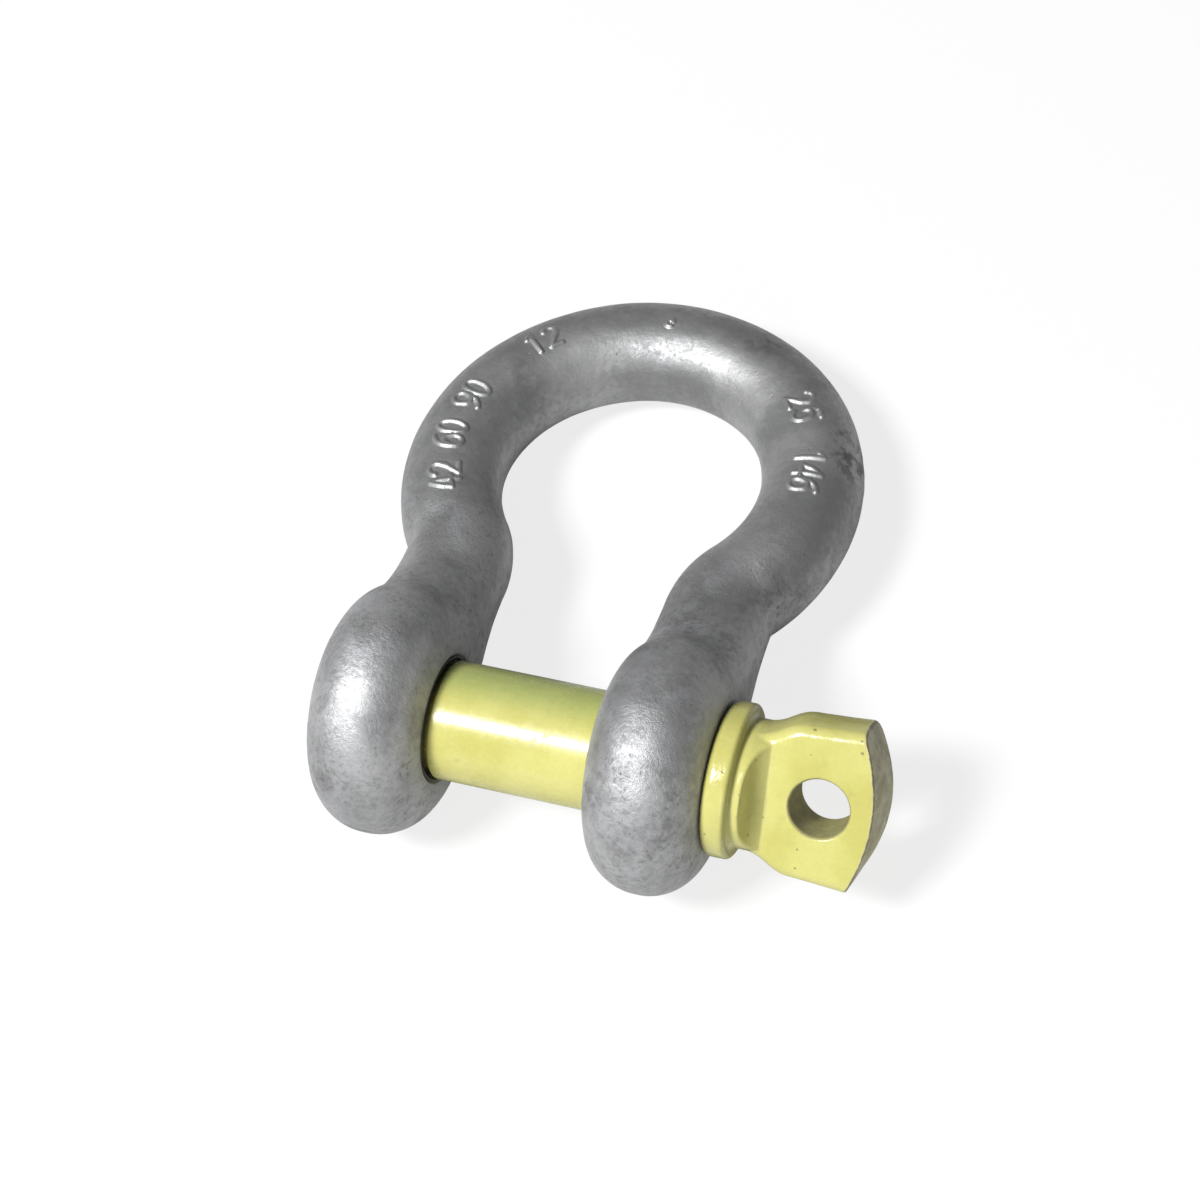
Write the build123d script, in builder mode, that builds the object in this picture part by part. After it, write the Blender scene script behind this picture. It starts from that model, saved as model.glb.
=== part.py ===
from build123d import *
import os
from math import acos, asin, atan2, cos, degrees, radians, sin, tan

# Bow shackle with a screw pin, in millimetres.
# X runs along the pin, with its head at +X. Y runs to the crown of the bow and Z is up.
# The origin is on the pin's axis, midway between the two eyes.
# The shackle lies as it comes to rest, on the rims of both eyes and on its crown,
# so the flat of the bow leans by a few degrees.

# The bow
jaw_width = 60.0
eye_thickness = 39.5
eye_radius = 45.0
bar_diameter = 38.0
crown_radius = 67.5
crown_distance = 118.4
neck_radius = 25.8
leg_straight = 1.6
flash_land = 1.2

# The bores in the eyes
pin_bore_clearance = 0.5
pin_bore_bevel = 1.2
thread_clearance = 0.3
thread_mouth_bevel = 2.0
thread_outlet_bevel = 1.8

# The pin's threaded end, shank, collar and throat
pin_diameter = 42.0
thread_stand_out = 2.0
thread_end_bevel = 2.5
relief_gap = 1.5
relief_floor = 5.5
relief_depth = 2.9
relief_slope = 45.0
collar_gap = 0.3
collar_lip = 5.8
collar_width = 8.6
collar_front_round = 3.0
collar_back_round = 1.6
throat_step = 1.4
throat_length = 3.8
throat_round = 1.8

# The pin's flat head, with its reaches measured from the back of the collar
head_lean = 46.7
head_thickness = 20.4
head_root_inset = 0.8
head_width = 54.6
head_corner_width = 56.8
head_swell_start = 2.0
head_swell_end = 22.0
head_corner_reach = 40.2
head_tip_reach = 48.8
head_tip_width = 21.0
head_tip_round = 5.0
head_side_round = 5.0
head_end_round = 1.2
shoulder_reach = 9.9
shoulder_hollow = 18.0
shoulder_round = 2.0
shoulder_draft = 7.0
cross_hole_diameter = 20.5
cross_hole_reach = 28.0
cross_hole_bevel = 0.8

# The bow's centre line: a straight leg, a neck bent outward and the round of the crown
bar_radius = bar_diameter / 2
half_eye = eye_thickness / 2
jaw_face = jaw_width / 2
eye_centre = jaw_face + half_eye
eye_face = jaw_face + eye_thickness
neck_turn = acos((eye_centre + neck_radius) / (crown_radius + neck_radius))
neck_angle = degrees(neck_turn)
leg_length = crown_distance - (crown_radius + neck_radius) * sin(neck_turn)
crown_start_x = crown_radius * cos(neck_turn)
crown_start_y = crown_distance - crown_radius * sin(neck_turn)

# The land between the rounded edges is the trimmed flash line of the forging
half_land = flash_land / 2
eye_round = half_eye - half_land
bar_round = bar_radius - half_land

# The bow leans until its crown lies as low as the rims of the eyes
lie_angle = asin((eye_radius - bar_radius) / (crown_distance + crown_radius + half_land))
toward_head = Vector(1, 0, 0)
toward_crown = Vector(0, cos(lie_angle), -sin(lie_angle))
bow_normal = Vector(0, sin(lie_angle), cos(lie_angle))
bow_plane = Plane(origin=(0, 0, 0), x_dir=toward_head, z_dir=bow_normal)
eye_side_plane = Plane(origin=(eye_centre, 0, 0), x_dir=toward_crown, z_dir=toward_head)
leg_end = bow_plane.from_local_coords(Vector(eye_centre, leg_length, 0))
crown_start = bow_plane.from_local_coords(Vector(crown_start_x, crown_start_y, 0))
neck_start_plane = Plane(origin=leg_end, x_dir=toward_head, z_dir=toward_crown)
rim_start_plane = Plane(origin=leg_end, x_dir=toward_head, z_dir=-toward_crown)
crown_start_plane = Plane(
    origin=crown_start,
    x_dir=toward_head * cos(neck_turn) - toward_crown * sin(neck_turn),
    z_dir=toward_head * sin(neck_turn) + toward_crown * cos(neck_turn),
)

# Each eye and its leg are a flat web with a full round rim swept along the outline.
# Seen along the pin, the web's round end runs through a hollow blend into the leg.
web_radius = eye_radius - eye_round
blend_end = leg_length - leg_straight
web_blend = (blend_end**2 + half_land**2 - web_radius**2) / (2 * (web_radius - half_land))
blend_turn = atan2(half_land + web_blend, blend_end)
blend_start = (web_radius * cos(blend_turn), web_radius * sin(blend_turn))
blend_angle = degrees(blend_turn)


def web_edge():
    """Draw half the web's outline, from the leg round to the far side of the eye."""
    Line((leg_length, half_land), (blend_end, half_land))
    RadiusArc((blend_end, half_land), blend_start, web_blend)
    CenterArc((0, 0), web_radius, blend_angle, 180 - blend_angle)


with BuildPart() as half_of_eye:
    with BuildLine(eye_side_plane) as rim_path:
        web_edge()
    with BuildSketch(rim_start_plane):
        RectangleRounded(eye_thickness, eye_thickness, eye_round)
        with Locations((0, half_land)):
            Rectangle(eye_thickness, eye_thickness, align=(Align.CENTER, Align.MAX), mode=Mode.SUBTRACT)
    sweep(path=rim_path.wire())
    with BuildSketch(eye_side_plane):
        with BuildLine():
            web_edge()
            Polyline((-web_radius, 0), (leg_length, 0), (leg_length, half_land))
        make_face()
    extrude(amount=half_eye, both=True)

with BuildPart() as eye:
    add(half_of_eye.part)
    mirror(half_of_eye.part, about=bow_plane)

with BuildPart() as neck:
    with BuildLine(bow_plane):
        CenterArc((eye_centre + neck_radius, leg_length), neck_radius, 180, -neck_angle)
    with BuildSketch(neck_start_plane):
        RectangleRounded(eye_thickness, eye_thickness, eye_round)
    with BuildSketch(crown_start_plane):
        RectangleRounded(bar_diameter, bar_diameter, bar_round)
    sweep(multisection=True)

# The eye at the head's side is bored plain, and the other one is bored for the thread.
# The thread itself isn't cut here: its bore is as wide as the thread's outer diameter.
pin_radius = pin_diameter / 2
plain_bore_radius = pin_radius + pin_bore_clearance
thread_bore_radius = pin_radius + thread_clearance


def bore_section(radius, inner_bevel, outer_bevel):
    """Draw half the section of a bore through the +X eye, with a bevel at each mouth."""
    Polyline(
        (jaw_face - inner_bevel, 0),
        (jaw_face - inner_bevel, radius + 2 * inner_bevel),
        (jaw_face + inner_bevel, radius),
        (eye_face - outer_bevel, radius),
        (eye_face + outer_bevel, radius + 2 * outer_bevel),
        (eye_face + outer_bevel, 0),
        close=True,
    )


with BuildPart() as plain_bore:
    with BuildSketch(Plane.XZ):
        with BuildLine():
            bore_section(plain_bore_radius, pin_bore_bevel, pin_bore_bevel)
        make_face()
    revolve(axis=Axis.X)

with BuildPart() as thread_bore:
    with BuildSketch(Plane.XZ):
        with BuildLine():
            bore_section(thread_bore_radius, thread_mouth_bevel, thread_outlet_bevel)
        make_face()
    revolve(axis=Axis.X)

# The forged bow is one piece, from one eye over the crown to the other
with BuildPart() as bow:
    with BuildLine(bow_plane):
        CenterArc((0, crown_distance), crown_radius, -neck_angle, 180 + 2 * neck_angle)
    with BuildSketch(crown_start_plane):
        RectangleRounded(bar_diameter, bar_diameter, bar_round)
    sweep()
    add(neck.part)
    add(eye.part)
    mirror(neck.part, about=Plane.YZ)
    mirror(eye.part, about=Plane.YZ)
    add(plain_bore.part, mode=Mode.SUBTRACT)
    mirror(thread_bore.part, about=Plane.YZ, mode=Mode.SUBTRACT)
bow.part.label = "bow"

# The round of the pin: threaded end, relief groove, shank, collar and throat.
# The groove opens into the jaw, so it shows as a ring between the shank and the tapped eye.
# The shank runs in the plain bore, and the collar stops against the eye's outer face.
pin_end = eye_face + thread_stand_out
relief_run = relief_depth / tan(radians(relief_slope))
relief_end = jaw_face - relief_gap
relief_start = relief_end + relief_floor + 2 * relief_run
relief_radius = pin_radius - relief_depth
collar_front = eye_face + collar_gap
collar_back = collar_front + collar_width
collar_radius = pin_radius + collar_lip
throat_radius = pin_radius + throat_step
throat_end = collar_back + throat_length


def round_corner(sketch, x, y, radius):
    """Round the corner of a sketch that lies nearest to its local point x, y."""
    fillet(sketch.vertices().sort_by_distance((x, y, 0))[0], radius=radius)


with BuildPart() as shank:
    with BuildSketch(Plane.XZ) as shank_section:
        with BuildLine():
            Polyline(
                (-pin_end, 0),
                (-pin_end, pin_radius - thread_end_bevel),
                (-pin_end + thread_end_bevel, pin_radius),
                (-relief_start, pin_radius),
                (-relief_start + relief_run, relief_radius),
                (-relief_end - relief_run, relief_radius),
                (-relief_end, pin_radius),
                (collar_front, pin_radius),
                (collar_front, collar_radius),
                (collar_back, collar_radius),
                (collar_back, throat_radius),
                (throat_end, throat_radius),
                (throat_end, 0),
                close=True,
            )
        make_face()
        round_corner(shank_section, collar_front, collar_radius, collar_front_round)
        round_corner(shank_section, collar_back, collar_radius, collar_back_round)
        round_corner(shank_section, collar_back, throat_radius, throat_round)
    revolve(axis=Axis.X)

# The head is forged flat, with its face leaning toward the open side of the jaw
lean = radians(head_lean)
head_normal = Vector(0, -sin(lean), cos(lean))
head_across = Vector(0, cos(lean), sin(lean))
head_plane = Plane(origin=(collar_back, 0, 0), x_dir=toward_head, z_dir=head_normal)
head_side_plane = Plane(origin=(collar_back, 0, 0), x_dir=toward_head, z_dir=-head_across)
throat_end_plane = Plane(origin=(throat_end, 0, 0), x_dir=head_across, z_dir=toward_head)
cross_hole_centre = head_plane.from_local_coords(Vector(cross_hole_reach, 0, 0))
cross_hole_plane = Plane(origin=cross_hole_centre, x_dir=toward_head, z_dir=head_normal)
half_head = head_thickness / 2
head_root = -collar_width / 2
root_width = 2 * (throat_radius - head_root_inset)
swell_middle = (head_swell_start + head_swell_end) / 2

# Edges are picked by where they lie, to within this distance
pick_slack = 0.01


def head_side(side):
    """Draw one long side of the head's outline, from its root out to the corner."""
    Line((head_root, side * root_width / 2), (head_swell_start, side * root_width / 2))
    Bezier(
        (head_swell_start, side * root_width / 2),
        (swell_middle, side * root_width / 2),
        (swell_middle, side * head_width / 2),
        (head_swell_end, side * head_width / 2),
    )
    Line((head_swell_end, side * head_width / 2), (head_corner_reach, side * head_corner_width / 2))


def in_head(edge):
    """Return the middle of an edge in the head's own frame."""
    return head_plane.to_local_coords(edge.center())


with BuildPart() as head:
    with BuildSketch(head_plane) as head_outline:
        with BuildLine():
            head_side(1)
            head_side(-1)
            Line((head_root, -root_width / 2), (head_root, root_width / 2))
            Polyline(
                (head_corner_reach, head_corner_width / 2),
                (head_tip_reach, head_tip_width / 2),
                (head_tip_reach, -head_tip_width / 2),
                (head_corner_reach, -head_corner_width / 2),
            )
        make_face()
        round_corner(head_outline, head_tip_reach, head_tip_width / 2, head_tip_round)
        round_corner(head_outline, head_tip_reach, -head_tip_width / 2, head_tip_round)
    extrude(amount=half_head, both=True)
    # The long edges are rounded first, and then everything that bounds the end faces
    face_edges = edges().filter_by(lambda edge: abs(in_head(edge).Z) > half_head - pick_slack)
    side_edges = face_edges.filter_by(
        lambda edge: in_head(edge).X < head_corner_reach - pick_slack
        and abs(in_head(edge).Y) > pick_slack
    )
    fillet(side_edges, radius=head_side_round)
    end_edges = edges().filter_by(
        lambda edge: in_head(edge).X > head_corner_reach - pick_slack
        and (
            abs(in_head(edge).Z) > pick_slack
            or abs(in_head(edge).Y) > head_corner_width / 2 - pick_slack
        )
    )
    fillet(end_edges, radius=head_end_round)

# A scooped shoulder leads from the round throat down to each face of the head.
# It runs on inside the head for as far as the round at its foot needs.
shoulder_end = shoulder_reach + 1.5 * shoulder_round

with BuildPart() as shoulder:
    with BuildSketch(throat_end_plane):
        Circle(throat_radius)
    extrude(amount=shoulder_end - throat_length, taper=shoulder_draft)
    with BuildSketch(head_side_plane) as shoulder_section:
        with BuildLine():
            Polyline(
                (throat_length, throat_radius),
                (throat_length, 0),
                (shoulder_end, 0),
                (shoulder_end, half_head),
                (shoulder_reach, half_head),
            )
            RadiusArc((shoulder_reach, half_head), (throat_length, throat_radius), shoulder_hollow)
        make_face()
        round_corner(shoulder_section, shoulder_reach, half_head, shoulder_round)
        mirror(about=Plane.XZ)
    extrude(amount=throat_radius, both=True, mode=Mode.INTERSECT)

# The screw pin is one piece too, with a cross hole in its head for the bar that turns it
with BuildPart() as screw_pin:
    add(shank.part)
    add(shoulder.part)
    add(head.part)
    with BuildSketch(cross_hole_plane):
        Circle(cross_hole_diameter / 2)
    extrude(amount=head_thickness, both=True, mode=Mode.SUBTRACT)
    hole_rims = edges().filter_by(GeomType.CIRCLE).filter_by(
        lambda edge: abs(edge.radius - cross_hole_diameter / 2) < pick_slack
    )
    chamfer(hole_rims, length=cross_hole_bevel)
screw_pin.part.label = "screw_pin"

os.makedirs("parts", exist_ok=True)
export_step(bow.part, "parts/bow.step")
export_step(screw_pin.part, "parts/screw_pin.step")
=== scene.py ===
"""A galvanised bow shackle and its yellow screw pin.

Sizes are in millimetres in the part's own frame: X runs along the pin, Y to the crown and Z is up.
"""

import logging
import math
from collections.abc import Callable
from dataclasses import asdict, dataclass, fields
from enum import Enum
from functools import cached_property

import bmesh
import bpy
import numpy as np
from bpy.types import ID, Material, Mesh, Node, NodeSocket, NodeTree, Object
from mathutils import Matrix, Vector

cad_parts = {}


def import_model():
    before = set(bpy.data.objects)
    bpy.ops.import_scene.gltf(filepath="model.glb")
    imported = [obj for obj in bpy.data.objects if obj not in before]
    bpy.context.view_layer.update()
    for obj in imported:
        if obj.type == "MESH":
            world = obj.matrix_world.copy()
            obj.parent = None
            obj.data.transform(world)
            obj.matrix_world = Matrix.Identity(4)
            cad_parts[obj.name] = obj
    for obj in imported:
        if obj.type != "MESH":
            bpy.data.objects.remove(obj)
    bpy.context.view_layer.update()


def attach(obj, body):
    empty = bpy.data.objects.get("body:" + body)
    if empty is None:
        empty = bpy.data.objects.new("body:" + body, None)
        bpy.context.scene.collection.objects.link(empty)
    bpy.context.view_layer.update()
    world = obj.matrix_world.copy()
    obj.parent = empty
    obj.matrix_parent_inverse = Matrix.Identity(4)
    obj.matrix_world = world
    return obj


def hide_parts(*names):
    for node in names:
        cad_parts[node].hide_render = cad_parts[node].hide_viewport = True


LOG = logging.getLogger("shackle")
MILLIMETRE = 0.001
HILL_WAVES = 9
HILL_SPREAD = (0.6, 1.5)
HILL_SOFTNESS = 2.6
SKIN_ROUNDS = 6
SKIN_PROBE = 0.02
SKIN_REACH = 0.55
COLLAPSED_AREA = 0.001
WELD_GAP = 0.001

Field = Callable[[np.ndarray], np.ndarray]
Colour = tuple[float, float, float]
Span = tuple[float, float]
Place = tuple[np.ndarray, np.ndarray, np.ndarray]
Hills = tuple[tuple[float, float, int], ...]


class Body(Enum):
    """The two bodies that pieces ride on."""

    BOW = "bow"
    PIN = "screw_pin"


class Finish(Enum):
    """The record's finishes."""

    GALVANISED = "galvanised_steel"
    PAINTED = "yellow_paint"


# Shapes


def soft_hills(points: np.ndarray, spacing: float, seed: int) -> np.ndarray:
    """Make a smooth uneven pattern over points.

    Args:
        points: Places, one in each row, in millimetres.
        spacing: About how far apart the hills are, in millimetres.
        seed: A fixed number that picks the pattern.

    Returns:
        One value from 0 to 1 for each point.
    """
    rng = np.random.default_rng(seed)
    total = np.zeros(len(points))
    for _ in range(HILL_WAVES):
        direction = rng.normal(size=3)
        direction /= np.linalg.norm(direction)
        wave = spacing * rng.uniform(*HILL_SPREAD)
        total += np.sin(points @ direction * (math.tau / wave) + rng.uniform(0, math.tau))
    return 0.5 + 0.5 * np.tanh(total / HILL_SOFTNESS)


def layered_hills(points: np.ndarray, layers: Hills) -> np.ndarray:
    """Add up smooth patterns, each given by its share, its spacing and its seed."""
    return sum(share * soft_hills(points, spacing, seed) for share, spacing, seed in layers)


def ease(values: np.ndarray, start: float, end: float) -> np.ndarray:
    """Rise smoothly from 0 at start to 1 at end.

    Args:
        values: The values to ease.
        start: Where the rise starts.
        end: Where the rise ends.

    Returns:
        Values from 0 to 1.
    """
    share = np.clip((values - start) / (end - start), 0.0, 1.0)
    return share * share * (3.0 - 2.0 * share)


def rays(angles: np.ndarray) -> np.ndarray:
    """Return the unit vectors at some angles, one in each row."""
    return np.stack([np.cos(angles), np.sin(angles)], axis=-1)


def revolve(profile: np.ndarray, spokes: np.ndarray) -> np.ndarray:
    """Sweep a profile round the pin's axis.

    Args:
        profile: Its points, along the axis and out from it.
        spokes: The unit vectors of the angles that it passes.

    Returns:
        The points, by profile point and angle.
    """
    walls = profile[:, None, 1:] * spokes[None]
    place = np.broadcast_to(profile[:, None, :1], (*walls.shape[:2], 1))
    return np.concatenate([place, walls], axis=-1)


def rounded_corners(corners: list[tuple[float, float, float]], steps: int = 5) -> np.ndarray:
    """Round the corners of an open outline with arcs.

    Args:
        corners: The x and y of each corner, and its radius.
        steps: How many steps each arc has.

    Returns:
        The outline's points, one in each row.
    """
    points = [np.array(corners[0][:2])]
    for before, corner, after in zip(corners[:-2], corners[1:-1], corners[2:]):
        place, radius = np.array(corner[:2]), corner[2]
        back = np.array(before[:2]) - place
        ahead = np.array(after[:2]) - place
        back /= np.linalg.norm(back)
        ahead /= np.linalg.norm(ahead)
        half = math.acos(float(np.clip(back @ ahead, -1.0, 1.0))) / 2
        if radius <= 0.0:
            points.append(place)
            continue
        centre = place + (back + ahead) / np.linalg.norm(back + ahead) * radius / math.sin(half)
        start = place + back * radius / math.tan(half) - centre
        end = place + ahead * radius / math.tan(half) - centre
        turn = math.pi - 2 * half
        for step in range(steps + 1):
            share = step / steps
            arm = start * math.sin((1 - share) * turn) + end * math.sin(share * turn)
            points.append(centre + arm / math.sin(turn))
    points.append(np.array(corners[-1][:2]))
    return np.array(points)


def round_both(first: np.ndarray, second: np.ndarray, radius: float) -> np.ndarray:
    """Keep what is inside both shapes, with a rounded edge.

    Args:
        first: Distances to the first shape, negative inside.
        second: Distances to the second shape.
        radius: The edge's radius.

    Returns:
        Distances to the shape they share.
    """
    over = np.hypot(np.maximum(radius + first, 0.0), np.maximum(radius + second, 0.0))
    return np.minimum(-radius, np.maximum(first, second)) + over


def round_either(first: np.ndarray, second: np.ndarray, radius: float) -> np.ndarray:
    """Join two shapes, with a round in the corner between them.

    Args:
        first: Distances to the first shape, negative inside.
        second: Distances to the second shape.
        radius: The round's radius.

    Returns:
        Distances to the joined shape.
    """
    over = np.hypot(np.maximum(radius - first, 0.0), np.maximum(radius - second, 0.0))
    return np.maximum(radius, np.minimum(first, second)) - over


def wrap_skin(
    field: Field, low: np.ndarray, high: np.ndarray, cell: float
) -> tuple[np.ndarray, np.ndarray]:
    """Wrap a skin of quads around a shape given by its distances.

    Args:
        field: Gives the distance to the shape at any points, negative inside.
        low: The lowest corner of a box that clears the shape.
        high: The highest corner of the box.
        cell: The size of the quads.

    Returns:
        The skin's points, and its quads that point outwards.
    """
    counts = np.ceil((high - low) / cell).astype(int) + 1
    axes = [low[axis] + cell * np.arange(counts[axis]) for axis in range(3)]
    grid = np.stack(np.meshgrid(*axes, indexing="ij"), axis=-1)
    inside = field(grid.reshape(-1, 3)).reshape(counts) < 0.0
    corners = np.zeros(counts - 1, dtype=int)
    for i in (0, 1):
        for j in (0, 1):
            for k in (0, 1):
                corners += inside[i : counts[0] - 1 + i, j : counts[1] - 1 + j, k : counts[2] - 1 + k]
    mixed = (corners > 0) & (corners < 8)
    numbers = np.full(mixed.shape, -1)
    numbers[mixed] = np.arange(int(mixed.sum()))
    centres = (np.argwhere(mixed) + 0.5) * cell + low
    points = centres.copy()
    for _ in range(SKIN_ROUNDS):
        slope = np.empty_like(points)
        for axis in range(3):
            step = np.zeros(3)
            step[axis] = SKIN_PROBE
            slope[:, axis] = (field(points + step) - field(points - step)) / (2 * SKIN_PROBE)
        steep = np.maximum((slope**2).sum(axis=1), 0.05)
        move = (field(points) / steep)[:, None] * slope
        points = np.clip(points - move, centres - SKIN_REACH * cell, centres + SKIN_REACH * cell)
    quads = []
    for axis in range(3):
        turned = np.moveaxis(inside, (axis, (axis + 1) % 3, (axis + 2) % 3), (0, 1, 2))
        index = np.moveaxis(numbers, (axis, (axis + 1) % 3, (axis + 2) % 3), (0, 1, 2))
        near, far = turned[:-1, 1:-1, 1:-1], turned[1:, 1:-1, 1:-1]
        around = [index[:, :-1, :-1], index[:, 1:, :-1], index[:, 1:, 1:], index[:, :-1, 1:]]
        for chosen, order in ((near & ~far, (0, 1, 2, 3)), (far & ~near, (3, 2, 1, 0))):
            quads.append(np.stack([around[corner][chosen] for corner in order], axis=-1))
    return points, np.concatenate(quads)


class Shell:
    """Grids of points that are joined into one mesh."""

    def __init__(self) -> None:
        """Start with nothing."""
        self.points: list[np.ndarray] = []
        self.faces: list[np.ndarray] = []
        self.count = 0

    def add(self, points: np.ndarray, faces: np.ndarray) -> None:
        """Add points and the quads between them."""
        self.points.append(points)
        self.faces.append(faces + self.count)
        self.count += len(points)

    def grid(self, points: np.ndarray, closed: bool = False) -> None:
        """Add a grid of points with quads between its rows.

        Args:
            points: The points, by row, column and axis.
            closed: Whether the last column joins the first one.
        """
        rows, columns = points.shape[:2]
        numbers = np.arange(rows * columns).reshape(rows, columns)
        if closed:
            numbers = np.concatenate([numbers, numbers[:, :1]], axis=1)
        quads = np.stack(
            [numbers[:-1, :-1], numbers[:-1, 1:], numbers[1:, 1:], numbers[1:, :-1]], axis=-1
        )
        self.add(points.reshape(-1, 3), quads.reshape(-1, 4))

    def mesh(self, name: str, crease_degrees: float, gap: float = 0.004) -> Mesh:
        """Join everything into a smooth mesh whose faces point outwards.

        Args:
            name: The mesh's name.
            crease_degrees: Edges sharper than this stay sharp.
            gap: Points nearer than this are merged.

        Returns:
            The mesh, still in millimetres.
        """
        mesh = bpy.data.meshes.new(name)
        mesh.from_pydata(np.concatenate(self.points).tolist(), [], np.concatenate(self.faces).tolist())
        work = bmesh.new()
        work.from_mesh(mesh)
        bmesh.ops.remove_doubles(work, verts=work.verts, dist=gap)
        bmesh.ops.dissolve_degenerate(work, edges=work.edges, dist=gap / 4)
        bmesh.ops.recalc_face_normals(work, faces=work.faces)
        work.to_mesh(mesh)
        work.free()
        mesh.shade_smooth()
        mesh.set_sharp_from_angle(angle=math.radians(crease_degrees))
        return mesh


def read_points(mesh: Mesh) -> np.ndarray:
    """Return a mesh's points, one in each row."""
    flat = np.empty(len(mesh.vertices) * 3)
    mesh.vertices.foreach_get("co", flat)
    return flat.reshape(-1, 3)


def read_normals(mesh: Mesh) -> np.ndarray:
    """Return the normals at a mesh's points, one in each row."""
    flat = np.empty(len(mesh.vertices) * 3)
    mesh.vertex_normals.foreach_get("vector", flat)
    return flat.reshape(-1, 3)


def write_points(mesh: Mesh, points: np.ndarray) -> None:
    """Move a mesh's points."""
    mesh.vertices.foreach_set("co", points.astype(np.float32).ravel())
    mesh.update()


def write_mask(mesh: Mesh, name: str, values: np.ndarray) -> None:
    """Keep a value at each point of a mesh for its material to read."""
    attribute = mesh.attributes.new(name, "FLOAT", "POINT")
    attribute.data.foreach_set("value", values.astype(np.float32))


def add_object(name: str, data: ID) -> Object:
    """Put a new object in the scene."""
    added = bpy.data.objects.new(name, data)
    bpy.context.scene.collection.objects.link(added)
    return added


def place_piece(name: str, mesh: Mesh, body: Body, finish: Finish, look: Material) -> Object:
    """Make an object of a mesh that is in millimetres.

    Args:
        name: The piece's name.
        mesh: Its mesh.
        body: The body that it rides on.
        finish: The record's finish for the piece; not used.
        look: Its material.

    Returns:
        The object, at the origin and in metres.
    """
    write_points(mesh, read_points(mesh) * MILLIMETRE)
    mesh.materials.clear()
    mesh.materials.append(look)
    piece = add_object(name, mesh)
    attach(piece, body.value)
    return piece


# Node trees


class NodeBench:
    """A node tree and the short ways to add to it."""

    def __init__(self, tree: NodeTree) -> None:
        """Work on a tree."""
        self.tree = tree

    def add(self, kind: str, **values: object) -> Node:
        """Add a node and set its properties."""
        node = self.tree.nodes.new(kind)
        for name, value in values.items():
            setattr(node, name, value)
        return node

    def link(self, source: NodeSocket, target: NodeSocket) -> None:
        """Link an output to an input."""
        self.tree.links.new(source, target)

    def feed(self, target: NodeSocket, value: object) -> None:
        """Link a socket to an input, or set the input's own value."""
        if isinstance(value, NodeSocket):
            self.link(value, target)
        else:
            target.default_value = value

    def put(self, kind: str, inputs: dict[str, object], **settings: object) -> NodeSocket:
        """Add a node, feed its inputs by name and return its first output.

        Args:
            kind: The node's kind.
            inputs: Sockets or plain values by the names of the node's inputs.
            **settings: The node's properties.

        Returns:
            The socket of its first output.
        """
        node = self.add(kind, **settings)
        for name, value in inputs.items():
            self.feed(node.inputs[name], value)
        return node.outputs[0]

    def math(self, operation: str, *values: object, clamp: bool = False) -> NodeSocket:
        """Work out one number from others.

        Args:
            operation: The Math node's operation.
            *values: Sockets or numbers.
            clamp: Whether the result stays from 0 to 1.

        Returns:
            The result's socket.
        """
        node = self.add("ShaderNodeMath", operation=operation, use_clamp=clamp)
        for target, value in zip(node.inputs, values):
            self.feed(target, value)
        return node.outputs[0]

    def span(
        self, value: object, low: object, high: object, to_low: object = 0.0, to_high: object = 1.0
    ) -> NodeSocket:
        """Map a value smoothly from one span to another.

        Args:
            value: The socket to map.
            low: The number, or its socket, that gives to_low.
            high: The number or socket that gives to_high.
            to_low: The result at low.
            to_high: The result at high.

        Returns:
            The result's socket.
        """
        ends = {"Value": value, "From Min": low, "From Max": high, "To Min": to_low, "To Max": to_high}
        return self.put("ShaderNodeMapRange", ends, interpolation_type="SMOOTHSTEP")

    def parts(self, vector: NodeSocket) -> dict[str, NodeSocket]:
        """Split a vector into its X, Y and Z."""
        node = self.add("ShaderNodeSeparateXYZ")
        self.link(vector, node.inputs[0])
        return {socket.name: socket for socket in node.outputs}

    def vary(self, share: object, pattern: object, gain: float, least: float) -> NodeSocket:
        """Multiply a share by a pattern that runs from least to least plus gain."""
        return self.math("MULTIPLY", share, self.math("MULTIPLY_ADD", pattern, gain, least))

    def noise(self, place: object, scale: object, detail: float, roughness: object = 0.5) -> NodeSocket:
        """Read a cloudy noise at a place."""
        values = {"Vector": place, "Scale": scale, "Detail": detail, "Roughness": roughness}
        return self.put("ShaderNodeTexNoise", values)

    def mix(self, share: object, first: object, second: object) -> NodeSocket:
        """Mix two colours.

        Args:
            share: How much of the second colour shows.
            first: The first colour, or its socket.
            second: The second colour, or its socket.

        Returns:
            The mixed colour's socket.
        """
        node = self.add("ShaderNodeMix", data_type="RGBA", clamp_factor=True)
        self.feed(node.inputs[0], share)
        self.feed(node.inputs[6], (*first, 1.0) if isinstance(first, tuple) else first)
        self.feed(node.inputs[7], (*second, 1.0) if isinstance(second, tuple) else second)
        return node.outputs[2]


def input_name(field: str) -> str:
    """Turn a field's name into the name of a tree's input."""
    return field.replace("_", " ").title()


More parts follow.
